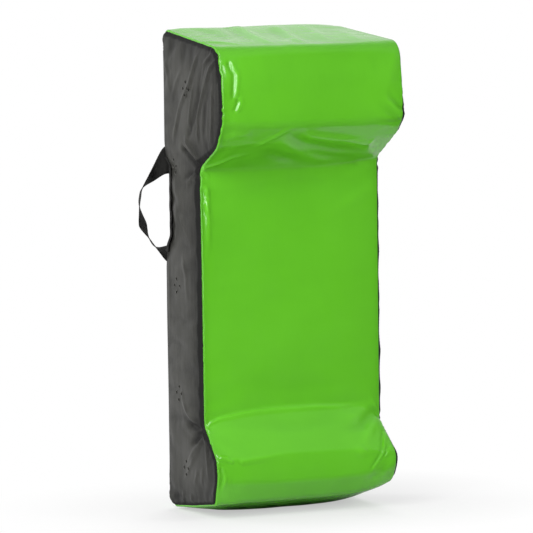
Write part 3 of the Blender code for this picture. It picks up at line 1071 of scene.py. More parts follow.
SIDE_LOOKS = {
    LEFT: SideLook(1.6, 1.0, 0.0, 0.3, 1.0, 0.7, 1.0, 0.0052, 0.001456, Ramp(0.600, 0.030), 0.00208),
    RIGHT: SideLook(0.8, 0.96, 0.004, 2.3, 0.4, 2.9, 0.35, 0.0080, 0.0040, Ramp(0.680, 0.030), 0.0022),
}
SEAM_HOLD = Ramp(0.0, 0.006)
"""How the hold of a seam on the cloth fades with the distance from it."""
SOFT_START = Ramp(0.0, 0.02)
BROAD_START = Ramp(0.0, 0.03)
UPPER_SIDE = Ramp(0.600, 0.030)
FOOT = Ramp(0.150, -0.030)


@dataclass
class SideSheet:
    """The flat cloth of one side, as places in depth and height.

    Args:
        outline: Its seam, all round, beginning with the front panel's rows.
        rows: How many of the outline's places lie on the front panel's seam.
        border: The points on the outline, in order.
    """

    side: int
    outline: Array
    rows: int
    points: Array
    faces: list[list[int]]
    border: list[int]

    def __post_init__(self) -> None:
        """Measure each point's distance from the seams, and find the front panel's nearest row."""
        line = self.outline[:self.rows]
        self.gap = gap_to(self.points, self.outline)
        self.front_gap = gap_to(self.points, np.concatenate((line, line[::-1])))
        self.nearest = np.linalg.norm(self.points[:, None] - line[None, ::3], axis=2).argmin(axis=1) * 3
        self.deep, self.high = self.points.T
        self.foot = FOOT.at(self.high)
        self.narrow = 0.35 * UPPER_SIDE.at(self.high) + 0.50 * self.foot


@dataclass
class Cover:
    """The sewn cover: one green front panel, two grey sides with air holes, and a grey back in halves.

    Args:
        vent_places: The groups of air holes, behind the front plane and above the base.
        unstrapped_depth: How much further a side stands out above and below the straps.
        gather_waver: How far the gathers move the front seam.
    """

    form: CoverForm
    cloth: SettledCloth
    green: Material
    grey: Material
    thickness: float = 0.0009
    vent_radius: float = 0.0029
    vent_spread: float = 0.0112
    vent_places: tuple[Pair, ...] = (
        (0.142, 0.722), (0.201, 0.588), (0.193, 0.386), (0.189, 0.203), (0.165, 0.078))
    vent_points: int = 16
    slot_half: float = 0.0068
    slot_tail: float = 0.006
    slit_half: float = 0.0002
    back_columns: int = 52
    back_depth: float = 0.0040
    unstrapped_depth: float = 0.0026
    strapped: Span = Span(0.410, 0.630, 0.030)
    front_roll: float = 0.0070
    back_roll: float = 0.0080
    belly: float = 0.0012
    gather_reach: float = 0.008
    gather_lift: float = 0.0005
    gather_waver: float = 0.0022
    side_gathers: float = 0.0014
    back_gathers: float = 0.0009
    calm: Span = Span(0.19, 0.57, 0.03)
    swells: tuple[Swell, ...] = (Swell((9, 9, 7), 3.3, 0.0012), Swell((24, 24, 15), 8.1, 0.0004))
    side_swells: tuple[Swell, ...] = (Swell((5, 70, 8), 5.7, 0.00035, 1), Swell((5, 22, 7), 2.2, 0.0015))
    back_swell: Swell = Swell((20, 5, 9), 4.4, 0.0011, 1)
    parts: list[Object] = field(default_factory=list)
    vents: dict[int, list[Array]] = field(default_factory=dict)

    def build(self) -> None:
        """Build and dress every panel."""
        self.build_front()
        for side in (LEFT, RIGHT):
            self.build_side(side)
            self.build_back(side)

    def keep(self, name: str, mesh: Mesh, finish: Material, node: str, slot: str) -> None:
        """Make a panel of its mesh, thicken it and let it stand for its node.

        Args:
            name: The panel's name.
            mesh: Its mesh.
            finish: Its material.
            node: The node that it stands for.
            slot: Its slot.
        """
        piece = new_object(name, mesh, finish)
        thicken(piece, self.thickness)
        declare(piece, slot, node, fill=0.85)
        self.parts.append(piece)

    def build_front(self) -> None:
        """The green panel over the top, down the front and under the base."""
        form = self.form
        across = columns_to_edges(form.seam_x, form.fine_rims, form.fine_spacing, form.spacing)
        points = form.surface(across)
        normals = surface_normals(points)
        wide, high = points[..., 0], points[..., 2]
        travel = np.broadcast_to(form.travel[:, None], wide.shape)
        gap_side = form.seam_x - np.abs(wide)
        gap_end = np.minimum(travel, form.travel[-1] - travel)
        gap = np.minimum(gap_side, gap_end)
        near_seam = np.exp(-gap_side / self.gather_reach)
        left, right = (
            form.waver(travel, look.front_seed) * look.front_gathers for look in SIDE_LOOKS.values())
        wave = np.where(wide < 0, left, right) * self.calm_top(np.arange(len(points)))[:, None]
        wave *= form.gathering(high) * (0.35 + 0.65 * Ramp(0.55, 0.05).at(high))
        height = self.front_relief(points, travel) + self.gather_lift * wave * near_seam
        height += sum(swell.at(points) for swell in self.swells) * BROAD_START.at(gap)
        share = (0.32 + 0.22 * np.exp(-gap / 0.025)) * (1 - 0.6 * self.calm.at(high))
        height += self.cloth.lift(points) * share * SEAM_HOLD.at(gap)
        height = height * SOFT_START.at(gap_end) - form.round_off(gap)
        moved = points + normals * height[..., None]
        moved[..., 0] += np.sign(wide) * self.gather_waver * wave * near_seam * SOFT_START.at(gap_end)
        inward = np.zeros_like(points)
        inward[..., 0] = -np.sign(wide) * (gap_side < form.fine_spacing)
        grown, taken = with_flaps(moved, normals, form.flap, form.flap_steps, inward)
        grown = form.pulled(grown)
        grown[..., 2] = np.maximum(grown[..., 2], 0.0004)
        self.front_seams = {LEFT: form.pulled(moved[:, 0]), RIGHT: form.pulled(moved[:, -1])}
        uv = joined(wide, travel)[taken]
        name = "front_panel_cloth"
        mesh = mesh_of(name, grown, grid_faces(*grown.shape[:2]), uv=uv)
        self.mark(mesh, height[taken], gap[taken])
        self.keep(name, mesh, self.green, "front_panel", "green_cover")

    @staticmethod
    def mark(mesh: Mesh, relief: Array, gap: Array) -> None:
        """Tell the material where a panel is sunk and where its seams are, where it paints shade into the
        colour; the seams are also rougher.
        """
        paint(mesh, "relief", relief)
        paint(mesh, "seam", np.exp(-gap / SEAM_HOLD.length))

    def front_relief(self, points: Array, travel: Array) -> Array:
        """The folds of the front panel.

        Args:
            points: The plain panel's points.
            travel: Distance down the panel of each point.

        Returns:
            Heights along the panel's normals.
        """
        turn_row, last_row = self.form.arcs[TOP_FRONT_CORNER], self.form.arcs[BASE_CORNER]
        height = np.zeros(points.shape[:2])
        panels = ((FRONT_FOLDS, slice(turn_row, last_row), 2), (TOP_FOLDS, slice(0, turn_row), 1))
        for folds, rows, axis in panels:
            for fold in folds:
                path = []
                for wide, other in fold.places:
                    column = int(np.argmin(np.abs(points[0, :, 0] - wide)))
                    line = -points[rows, column, axis]
                    path.append((wide, float(np.interp(-other, line, travel[rows, column]))))
                height += fold.lift(points[..., 0], travel, np.array(path))
        return height

    @staticmethod
    def swell(gap: Array, roll: float) -> Array:
        """Share of its height that a side has reached this far from its seam."""
        close = np.clip(1 - gap / roll, 0, 1)
        return np.sqrt(1 - close ** 2)

    @staticmethod
    def bevel(gap: Array, reach: float | Array) -> Array:
        """Share of its height along a flat bevel that turns softly into the side.

        Args:
            gap: Distances from the seam.
            reach: How far the bevel reaches.

        Returns:
            The shares.
        """
        soft = 0.22
        share = gap / reach
        start = 0.5 * (1 - math.sqrt(1 + soft ** 2))
        return 0.5 * (share + 1 - np.sqrt((share - 1) ** 2 + soft ** 2)) - start

    def vent_outlines(self) -> list[Array]:
        """Outlines of the air holes: a diamond of four round holes at each place.

        Returns:
            One outline for each hole, as depths and heights.
        """
        ring = np.arange(self.vent_points) * math.tau / self.vent_points
        circle = self.vent_radius * joined(np.cos(ring), np.sin(ring))
        holes = []
        for behind, height in self.vent_places:
            for turn in np.arange(4) * math.tau / 4:
                middle = np.array((behind + self.form.pad.front, height))
                holes.append(middle + self.vent_spread * np.array((math.cos(turn), math.sin(turn))) + circle)
        return holes

    def calm_top(self, rows: Array) -> Array:
        """Share of the gathers that is left at each row: few along the top edge."""
        return 1 - 0.85 * Ramp(self.form.arcs[TOP_FRONT_CORNER], -6).at(rows)

    def build_side(self, side: int) -> None:
        """One grey side, with its air holes.

        Args:
            side: LEFT or RIGHT.
        """
        form, pad = self.form, self.form.pad
        seam = self.front_seams[side][:, 1:]
        heights = even_line(pad.seam_low, pad.seam_high, form.spacing)[1:-1]
        outline = np.concatenate((seam, joined(pad.back - form.seam_round, heights)))
        sheet = SideSheet(side, outline, len(seam), *self.fill_side(outline))
        relief = self.side_relief(sheet)
        full = form.pulled(joined(side * self.side_out(sheet, relief), sheet.deep, sheet.high))
        full[sheet.border, 1:] = outline
        self.vents[side] = []
        for hole in self.vent_outlines():
            near = np.linalg.norm(sheet.points - hole.mean(axis=0), axis=1).argsort()[:len(hole)]
            self.vents[side].append(full[near].mean(axis=0))
        allowance, strips = self.turned_in(sheet, full)
        name = SIDE_NAMES[side] + "_side_cloth"
        mesh = mesh_of(name, np.concatenate((full, allowance)), sheet.faces + strips)
        face_out(mesh, (side, 0, 0))
        padding = np.zeros(len(allowance))
        # Painted shade in the side's sunk folds, from its relief.
        paint(mesh, "relief", np.concatenate((relief, padding)))
        # Painted shade on the side: a dark band along the front seam, a darker edge along every seam and a
        # slightly darker front half; the hidden allowance takes the full shade. The same mask also roughens
        # the cloth.
        wear_and_painted_shade = Ramp(0.0128 * (1 - sheet.narrow), -0.004).at(sheet.front_gap)
        wear_and_painted_shade = np.maximum(wear_and_painted_shade, 0.6 * np.exp(-sheet.gap / 0.004))
        wear_and_painted_shade = np.maximum(wear_and_painted_shade, 0.22 * Ramp(0.070, -0.060).at(sheet.front_gap))
        paint(mesh, "seam", np.concatenate((wear_and_painted_shade, padding + 1)))
        self.keep(name, mesh, self.grey, SIDE_NAMES[side] + "_side_panel", "grey_cover")

    def side_relief(self, sheet: SideSheet) -> Array:
        """The folds, gathers and swelling of a side.

        Args:
            sheet: The side's flat cloth.

        Returns:
            How far out they move each point.
        """
        form, look = self.form, SIDE_LOOKS[sheet.side]
        height = np.zeros(len(sheet.points))
        for fold in SIDE_FOLDS:
            path = fold.places * (look.fold_stretch, 1.0) + look.fold_shift
            height += look.fold_gain * fold.lift(sheet.deep - form.pad.front, sheet.high, path)
        gathers = form.waver(form.travel[sheet.nearest], look.seed) * form.gathering(sheet.high)
        gathers *= look.gathers * self.calm_top(sheet.nearest)
        height += self.side_gathers * gathers * np.exp(-sheet.front_gap / 0.010)
        place = joined(sheet.side * 0.2, sheet.deep, sheet.high)
        height += sum(swell.at(place, sheet.side) for swell in self.side_swells)
        height += self.cloth.lift(joined(sheet.side * form.pad.half_width, sheet.deep, sheet.high))
        return height * SEAM_HOLD.at(sheet.gap)

    def side_out(self, sheet: SideSheet, relief: Array) -> Array:
        """How far from the pad's middle each point of a side lies.

        Args:
            sheet: The side's flat cloth.
            relief: Its folds.

        Returns:
            The distances.
        """
        form, look = self.form, SIDE_LOOKS[sheet.side]
        rise = self.bevel(sheet.front_gap, self.front_roll * (1 - sheet.narrow))
        rise = np.minimum(rise, self.swell(sheet.gap, self.back_roll))
        front = look.roll - look.upper_less * look.upper.at(sheet.high) - look.foot_less * sheet.foot
        back = self.back_depth + self.unstrapped_depth * (1 - self.strapped.at(sheet.high))
        depth = back + (front - back) * Ramp(form.pad.back, -0.070).at(sheet.deep)
        shift = np.abs(self.front_seams[sheet.side][sheet.nearest, 0]) - form.seam_x
        seam = form.seam_x + shift * np.exp(-sheet.front_gap / self.gather_reach)
        return seam + (depth * rise + self.belly * Ramp(0.0, 0.07).at(sheet.gap) + relief)

    def turned_in(self, sheet: SideSheet, full: Array) -> tuple[Array, list[list[int]]]:
        """The seam allowance all round a side.

        Args:
            sheet: The side's flat cloth.
            full: Its points in space.

        Returns:
            The allowance's points, and the faces that join them to the side.
        """
        into = into_outline(sheet.outline)
        rings, extra = [np.array(sheet.border)], []
        for step in range(1, self.form.flap_steps + 1):
            depth = self.form.flap * step / self.form.flap_steps
            ring = full[sheet.border].copy()
            ring[:, 0] -= sheet.side * depth * 0.8
            ring[:, 1:] += into * depth * 0.6
            rings.append(len(full) + len(extra) * len(ring) + np.arange(len(ring)))
            extra.append(ring)
        strips = [
            np.stack((outer, inner, np.roll(inner, -1), np.roll(outer, -1)), axis=1)
            for outer, inner in zip(rings, rings[1:])]
        return np.concatenate(extra), np.concatenate(strips).tolist()

    def fill_side(self, outline: Array) -> tuple[Array, list, list[int]]:
        """Triangles that fill a side's outline around its air holes.

        Args:
            outline: The seam line, closed.

        Returns:
            The points, the triangles, and the points on the seam in order.
        """
        into = into_outline(outline)
        rings = [outline + into * depth for depth in (0.0007, 0.0016, 0.0029)]
        holes = self.vent_outlines()
        low, high = outline.min(axis=0), outline.max(axis=0)
        step = self.form.spacing
        loose = np.concatenate([
            joined(np.arange(low[0] + (index % 2) * step / 2, high[0], step), height)
            for index, height in enumerate(np.arange(low[1], high[1], step * 0.866))])
        loose = loose[inside(loose, outline)]
        loose = loose[gap_to(loose, outline) > 0.0045]
        for hole in holes:
            loose = loose[np.linalg.norm(loose - hole.mean(axis=0), axis=1) > self.vent_radius + 0.0022]
        collars = [hole + unit(hole - hole.mean(axis=0)) * 0.0011 for hole in holes]
        edges, start = [], 0
        for count in (len(outline), *map(len, holes)):
            edges += [(start + k, start + (k + 1) % count) for k in range(count)]
            start += count
        points = np.concatenate([outline, *holes, *rings, *collars, loose])
        result = geometry.delaunay_2d_cdt([Vector(p) for p in points], edges, [], 0, 1e-7)
        found, faces, origins = result[0], result[2], result[3]
        placed = np.array([tuple(v) for v in found])
        middles = placed[np.array(faces)].mean(axis=1)
        kept = inside(middles, outline)
        for hole in holes:
            kept &= ~inside(middles, hole)
        number = {given: index for index, merged in enumerate(origins) for given in merged}
        border = [number[k] for k in range(len(outline))]
        return placed, [face for face, keep in zip(faces, kept) if keep], border

    def build_back(self, side: int) -> None:
        """One half of the grey back, cut away along the zip.

        Args:
            side: LEFT or RIGHT.
        """
        form, pad = self.form, self.form.pad
        heights = even_line(pad.seam_low, pad.seam_high, form.spacing)
        low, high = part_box("zip_bottom_stop")[0].z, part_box("zip_top_stop_left")[1].z
        slot = Span(low - self.slot_tail, high + self.slot_tail, self.slot_tail)
        inner = (self.slit_half + (self.slot_half - self.slit_half) * slot.at(heights))[:, None]
        wide = inner + (form.seam_x - inner) * (1 - (1 - np.linspace(0, 1, self.back_columns)) ** 1.25)
        high = np.broadcast_to(heights[:, None], wide.shape)
        from_slot, gap_side = wide - inner, form.seam_x - wide
        gap = np.minimum.reduce((gap_side, high - pad.seam_low, pad.seam_high - high))
        flat = joined(side * wide, pad.back, high)
        height = self.back_swell.at(flat, side) * BROAD_START.at(gap)
        height += self.cloth.lift(flat) * SEAM_HOLD.at(gap)
        wave = form.waver(high, 0.4 + side)
        height += self.back_gathers * wave * np.exp(-gap_side / 0.009) * SEAM_HOLD.at(gap)
        height *= SOFT_START.at(from_slot)
        belly = 0.0030 * Ramp(0.0, 0.06).at(gap) * BROAD_START.at(from_slot)
        flat[..., 1] += height + belly
        flat[..., 1] -= form.round_off(gap)
        normals = np.zeros_like(flat)
        normals[..., 1] = 1
        inward = np.zeros_like(flat)
        inward[..., 0] = -side * (gap_side < TINY)
        inward[..., 2] = np.where(high <= pad.seam_low, 1, np.where(high >= pad.seam_high, -1, 0))
        grown, taken = with_flaps(flat, normals, form.flap, form.flap_steps, inward)
        name = "back_cloth_" + SIDE_NAMES[side]
        mesh = mesh_of(name, form.pulled(grown), grid_faces(*grown.shape[:2], flipped=side == LEFT))
        face_out(mesh, (0, 1, 0))
        self.mark(mesh, height[taken], gap[taken])
        self.keep(name, mesh, self.grey, "back_panel_" + SIDE_NAMES[side], "grey_cover")


@dataclass
class CarryStrap:
    """One carrying strap of black webbing, sewn to the back at both ends and caught in the back seam.

    Args:
        near_edge: Places on its inner edge from the upper end to the lower, in millimetres, on the left.
        base_span: Heights of the webbing under the strap.
        base_section: How far it lies inside the edge of the pad, and behind the back.
    """

    form: CoverForm
    webbing: Material
    side: int
    thickness: float = 0.0016
    columns: int = 11
    near_edge: tuple[Triple, ...] = (
        (-131, 126.6, 614), (-149, 126.4, 615), (-166.8, 126.4, 616.3), (-185, 134, 581.5),
        (-200.7, 140, 547.9), (-203, 142, 532.5), (-205.6, 143, 515.6), (-207.3, 144, 490),
        (-204, 144, 477.9), (-189.9, 140, 461.4), (-180.6, 135, 447), (-165.6, 126.2, 423.2),
        (-150, 126.2, 416), (-131, 126.6, 415), (-112, 126.8, 415),
    )
    far_edge: tuple[Triple, ...] = (
        (-131, 126.8, 572), (-148, 126.8, 571), (-164.9, 126.6, 570.6), (-174.5, 153, 557.5),
        (-183.9, 180, 544.4), (-189.5, 182, 530), (-188.7, 183, 511.9), (-178, 180, 485.9),
        (-175.7, 180, 473.8), (-173, 180, 457.5), (-163.7, 175, 443), (-148, 160, 446),
        (-136, 142, 453), (-125, 128.5, 456), (-112, 126.8, 456),
    )
    steps: int = 8
    width: float = 0.044
    base_span: Pair = (0.440, 0.600)
    base_section: tuple[Pair, ...] = (
        (36, 1.2), (18, 2), (5, 0.8), (1.2, -1.2), (-1.4, -6), (-2.6, -17))
    base_thickness: float = 0.0012

    def build(self) -> list[Object]:
        """Build the strap and the webbing under it."""
        return [self.build_ribbon(), self.build_base()]

    @staticmethod
    def smooth(points: Array, steps: int) -> Array:
        """Points on a smooth curve through a list of places.

        Args:
            points: The places.
            steps: Points from one place to the next.

        Returns:
            The points.
        """
        padded = np.concatenate((2 * points[:1] - points[1:2], points, 2 * points[-1:] - points[-2:-1]))
        curve = []
        for p0, p1, p2, p3 in zip(padded, padded[1:], padded[2:], padded[3:]):
            for step in range(steps):
                t = step / steps
                curve.append(0.5 * (2 * p1 + (p2 - p0) * t + (2 * p0 - 5 * p1 + 4 * p2 - p3) * t ** 2
                                    + (3 * p1 - p0 - 3 * p2 + p3) * t ** 3))
        curve.append(points[-1])
        return np.array(curve)

    def build_ribbon(self) -> Object:
        """The strap itself: two edges, the web between them, and rounded selvedges.

        Returns:
            The strap.
        """
        near, far = (self.smooth(np.array(edge) / MM, self.steps) for edge in (self.near_edge, self.far_edge))
        share = np.linspace(0, 1, self.columns)
        centre = near[:, None] * (1 - share[None, :, None]) + far[:, None] * share[None, :, None]
        out = unit(np.cross(unit(np.gradient(centre, axis=0)), unit(np.gradient(centre, axis=1))))
        rounded = np.sqrt(np.clip(1 - (2 * share - 1) ** 10, 0, 1))[None, :, None]
        bulge = out * (self.thickness / 2) * rounded
        loop = np.concatenate((centre + bulge, (centre - bulge)[:, -2:0:-1]), axis=1)
        loop[..., 0] *= -self.side
        rows, around = loop.shape[:2]
        number = np.arange(rows * around).reshape(rows, around)
        after = np.roll(number, -1, axis=1)
        faces = np.stack((number[:-1], number[1:], after[1:], after[:-1]), axis=-1).reshape(-1, 4).tolist()
        faces += [number[0].tolist(), number[-1, ::-1].tolist()]
        length = np.concatenate(([0], np.cumsum(np.linalg.norm(np.diff(centre[:, 0], axis=0), axis=1))))
        wide = np.concatenate((share, share[-2:0:-1])) * self.width
        side = SIDE_NAMES[self.side]
        name = "handle_" + side + "_webbing"
        mesh = mesh_of(name, loop, faces, uv=joined(wide, length[:, None]))
        face_out(mesh)
        piece = new_object(name, mesh, self.webbing)
        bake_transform(piece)
        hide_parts("handle_" + side, side + "_upper_anchor", side + "_lower_anchor")
        LOG.info("%s: %d faces", name, len(mesh.polygons))
        return piece

    def build_base(self) -> Object:
        """The webbing between the strap's ends, which wraps the back edge onto the side.

        Returns:
            The webbing.
        """
        pad = self.form.pad
        heights = even_line(*self.base_span, 0.003)[:, None]
        wave = 0.0016 * np.sin(heights * 210) + 0.0012 * np.sin(heights * 97 + 1)
        section = [(inside_edge / MM - pad.half_width, pad.back + behind / MM, 0.0)
                   for inside_edge, behind in self.base_section]
        line = self.smooth(np.array(section), 4)
        share = np.linspace(0, 1, len(line))
        grid = self.form.pulled(joined(line[:, 0], line[:, 1] + wave * share ** 3, heights))
        grid[..., 0] *= -self.side
        name = SIDE_NAMES[self.side] + "_base_strip"
        mesh = mesh_of(name, grid, grid_faces(*grid.shape[:2]), uv=joined(share * 0.04, heights))
        face_out(mesh, (self.side, 1, 0))
        piece = new_object(name, mesh, self.webbing)
        thicken(piece, self.base_thickness)
        declare(piece, "webbing", SIDE_NAMES[self.side] + "_base_webbing")
        return piece


@dataclass
class Filling:
    """The foam slabs inside the cover.

    Args:
        inset: How far inside the cover the foam ends.
        layers: Each slab's foam, and whether it lies in the upper or the lower wedge.
    """

    form: CoverForm
    foams: dict[str, Material]
    inset: float = 0.0065
    stations: int = 15
    layers: tuple[tuple[str, str, bool | None], ...] = (
        ("foam_back_board", "firm_foam", None), ("foam_core_rear", "body_foam", None),
        ("foam_core_front", "body_foam", None), ("foam_upper_inner", "wedge_foam", True),
        ("foam_upper_outer", "wedge_foam", True), ("foam_lower_block", "wedge_foam", False),
    )

    def build(self) -> None:
        """Cut the solid into its slabs."""
        split = (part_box("foam_lower_block")[1].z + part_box("foam_upper_inner")[0].z) / 2
        for node, slot, upper in self.layers:
            low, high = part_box(node)
            cuts = [((0, low.y - 0.0001, 0), (0, -1, 0)), ((0, high.y, 0), (0, 1, 0))]
            if node in ("foam_upper_outer", "foam_lower_block"):
                cuts = cuts[1:]
            if node == "foam_back_board":
                cuts = cuts[:1]
            if upper is not None:
                cuts.append(((0, 0, split), (0, 0, -1 if upper else 1)))
            piece = new_object(node + "_slab", self.slab(node + "_slab", cuts), self.foams[slot])
            declare(piece, slot, node, fill=1.0)

    def slab(self, name: str, cuts: list[tuple]) -> Mesh:
        """One slab.

        Args:
            name: Its name.
            cuts: A place on each cut and the direction that falls away there.

        Returns:
            Its mesh.
        """
        solid = closed_cover(self.form, self.inset, self.stations, 4)
        for place, out in cuts:
            geom = solid.verts[:] + solid.edges[:] + solid.faces[:]
            cut = bmesh.ops.bisect_plane(solid, geom=geom, plane_co=place, plane_no=out, clear_outer=True)
            rim = [item for item in cut["geom_cut"] if isinstance(item, bmesh.types.BMEdge)]
            if rim:
                bmesh.ops.triangle_fill(solid, edges=rim, use_beauty=True)
        bmesh.ops.remove_doubles(solid, verts=solid.verts, dist=TINY)
        bmesh.ops.recalc_face_normals(solid, faces=solid.faces)
        return mesh_from(name, solid)


class NodeSheet:
    """A short way to add and join the nodes of one shader or geometry tree."""

    def __init__(self, tree: NodeTree) -> None:
        """Work in this tree."""
        self.tree = tree

    def feed(self, node: Node, inputs: dict[str | int, Value]) -> None:
        """Give a node its inputs.

        Args:
            node: The node.
            inputs: Values or sockets, by name or number.
        """
        for name, value in inputs.items():
            if isinstance(value, NodeSocket):
                self.tree.links.new(value, node.inputs[name])
            else:
                node.inputs[name].default_value = value

    def add(self, kind: str, inputs: dict | None = None, **options: object) -> Node:
        """Add a node.

        Args:
            kind: The node's type.
            inputs: Values or sockets for its inputs, by name or number.
            options: Its properties.

        Returns:
            The node.
        """
        node = self.tree.nodes.new(kind)
        for name, value in options.items():
            setattr(node, name, value)
        self.feed(node, inputs or {})
        return node

    def first(self, kind: str, inputs: dict | None = None, **options: object) -> NodeSocket:
        """The first output of a new node."""
        return self.add(kind, inputs, **options).outputs[0]

    def math(self, operation: str, *values: Value) -> NodeSocket:
        """The result of a Math node."""
        return self.first("ShaderNodeMath", dict(enumerate(values)), operation=operation)

    def product(self, first: Value, second: Value) -> NodeSocket:
        """Two values multiplied."""
        return self.math("MULTIPLY", first, second)

    def total(self, first: Value, *others: Value) -> NodeSocket:
        """Several values added up.

        Args:
            first: The first value.
            others: What is added to it.

        Returns:
            The sum.
        """
        for other in others:
            first = self.math("ADD", first, other)
        return first

    def vector(self, operation: str, *values: Value) -> NodeSocket:
        """The result of a Vector Math node."""
        return self.first("ShaderNodeVectorMath", dict(enumerate(values)), operation=operation)

    def blend(self, share: NodeSocket, first: Colour, second: Colour) -> NodeSocket:
        """A colour between two.

        Args:
            share: The second colour's share.
            first: The first colour.
            second: The second colour.

        Returns:
            The colour.
        """
        node = self.add("ShaderNodeMix", data_type="RGBA")
        colours = [socket for socket in node.inputs if socket.type == "RGBA"]
        self.tree.links.new(share, node.inputs["Factor"])
        for socket, colour in zip(colours, (first, second)):
            socket.default_value = (*colour, 1)
        return [socket for socket in node.outputs if socket.type == "RGBA"][0]

    def ranged(
        self, value: Value, low: float, high: float, to_low: Value, to_high: Value,
    ) -> NodeSocket:
        """A value mapped from one range to another, and held there."""
        return self.first("ShaderNodeMapRange", {
            "Value": value, "From Min": low, "From Max": high, "To Min": to_low, "To Max": to_high})

    def where(self) -> NodeSocket:
        """The place on the object."""
        return self.add("ShaderNodeTexCoord").outputs["Object"]

    def bump(self, strength: float, depth: float, height: Value, **normal: Value) -> NodeSocket:
        """The normal of a surface with a fine relief."""
        return self.first("ShaderNodeBump", {
            "Strength": strength, "Distance": depth, "Height": height, **normal})

    def glow(self, kind: str, strength: Value) -> NodeSocket:
        """White light of a kind of shader."""
        return self.first("ShaderNode" + kind, {"Color": WHITE, "Strength": strength})

    def mix(self, share: Value, first: Value, second: Value) -> NodeSocket:
        """A shader between two."""
        return self.first("ShaderNodeMixShader", {0: share, 1: first, 2: second})


def new_material(name: str) -> tuple[Material, NodeSheet, Node]:
    """A material with an empty Principled BSDF.

    Args:
        name: The material's name.

    Returns:
        The material, its node sheet and its shader.
    """
    material = bpy.data.materials.new(name)
    material.use_nodes = True
    return material, NodeSheet(material.node_tree), material.node_tree.nodes["Principled BSDF"]


class Groups:
    """The node groups that several materials share: crossing threads, and soft uneven patches."""

    def __init__(self) -> None:
        """Build each group once."""
        self.weave_tree, sheet, given, result = self.blank("plain_weave", "Height", "Threads per Metre")
        turned = sheet.add("ShaderNodeVectorMath", {0: given["Place"]}, operation="SCALE")
        sheet.feed(turned, {"Scale": sheet.product(given["Threads per Metre"], math.pi)})
        parts = sheet.add("ShaderNodeSeparateXYZ", {0: turned.outputs[0]}).outputs
        first, second = sheet.math("SINE", parts["X"]), sheet.math("SINE", parts["Y"])
        over = sheet.math("GREATER_THAN", sheet.product(first, second), 0.0)
        warp = sheet.product(sheet.math("ABSOLUTE", first), over)
        weft = sheet.product(sheet.math("ABSOLUTE", second), sheet.math("SUBTRACT", 1.0, over))
        sheet.feed(result, {"Height": sheet.total(warp, weft)})
        self.mottle_tree, sheet, given, result = self.blank("mottle", "Value", "Scale", "Low", "High")
        clouds = sheet.add("ShaderNodeTexNoise", {
            "Vector": given["Place"], "Scale": given["Scale"], "Detail": 4.0, "Roughness": 0.55})
        spread = sheet.ranged(clouds.outputs["Fac"], 0.3, 0.7, given["Low"], given["High"])
        sheet.feed(result, {"Value": spread})

    @staticmethod
    def blank(name: str, output: str, *numbers: str) -> tuple:
        """A shader node group that takes a place and some numbers, and gives one.

        Args:
            name: Its name.
            output: The name of what it gives.
            numbers: The names of the numbers that it takes.

        Returns:
            The group, its node sheet, its inputs and its output node.
        """
        group = bpy.data.node_groups.new(name, "ShaderNodeTree")
        group.interface.new_socket("Place", in_out="INPUT", socket_type="NodeSocketVector")
        for label in numbers:
            group.interface.new_socket(label, in_out="INPUT", socket_type="NodeSocketFloat")
        group.interface.new_socket(output, in_out="OUTPUT", socket_type="NodeSocketFloat")
        sheet = NodeSheet(group)
        return group, sheet, sheet.add("NodeGroupInput").outputs, sheet.add("NodeGroupOutput")

    def weave(self, sheet: NodeSheet, place: Value, threads: float) -> NodeSocket:
        """The height of a plain weave at a place on the cloth."""
        return sheet.first(
            "ShaderNodeGroup", {"Place": place, "Threads per Metre": threads}, node_tree=self.weave_tree)

    def mottle(self, sheet: NodeSheet, place: Value, scale: float, low: float, high: float) -> NodeSocket:
        """Uneven patches between a low and a high value.

        Args:
            sheet: The material's node sheet.
            place: Where it is asked for.
            scale: How fine the patches are.
            low: The low value.
            high: The high value.

        Returns:
            The value there.
        """
        return sheet.first(
            "ShaderNodeGroup", {"Place": place, "Scale": scale, "Low": low, "High": high},
            node_tree=self.mottle_tree)


class Finish:
    """A material that its sizes and colours describe."""

    name: str

    def make(self, groups: Groups) -> Material:
        """Build the material.

        Args:
            groups: The shared node groups.

        Returns:
            The material.
        """
        material, sheet, shader = new_material(self.name)
        sheet.feed(shader, self.inputs(sheet, groups))
        return material

    def inputs(self, sheet: NodeSheet, groups: Groups) -> dict[str, Value]:
        """What its shader is given, as each kind of finish says."""
        raise NotImplementedError


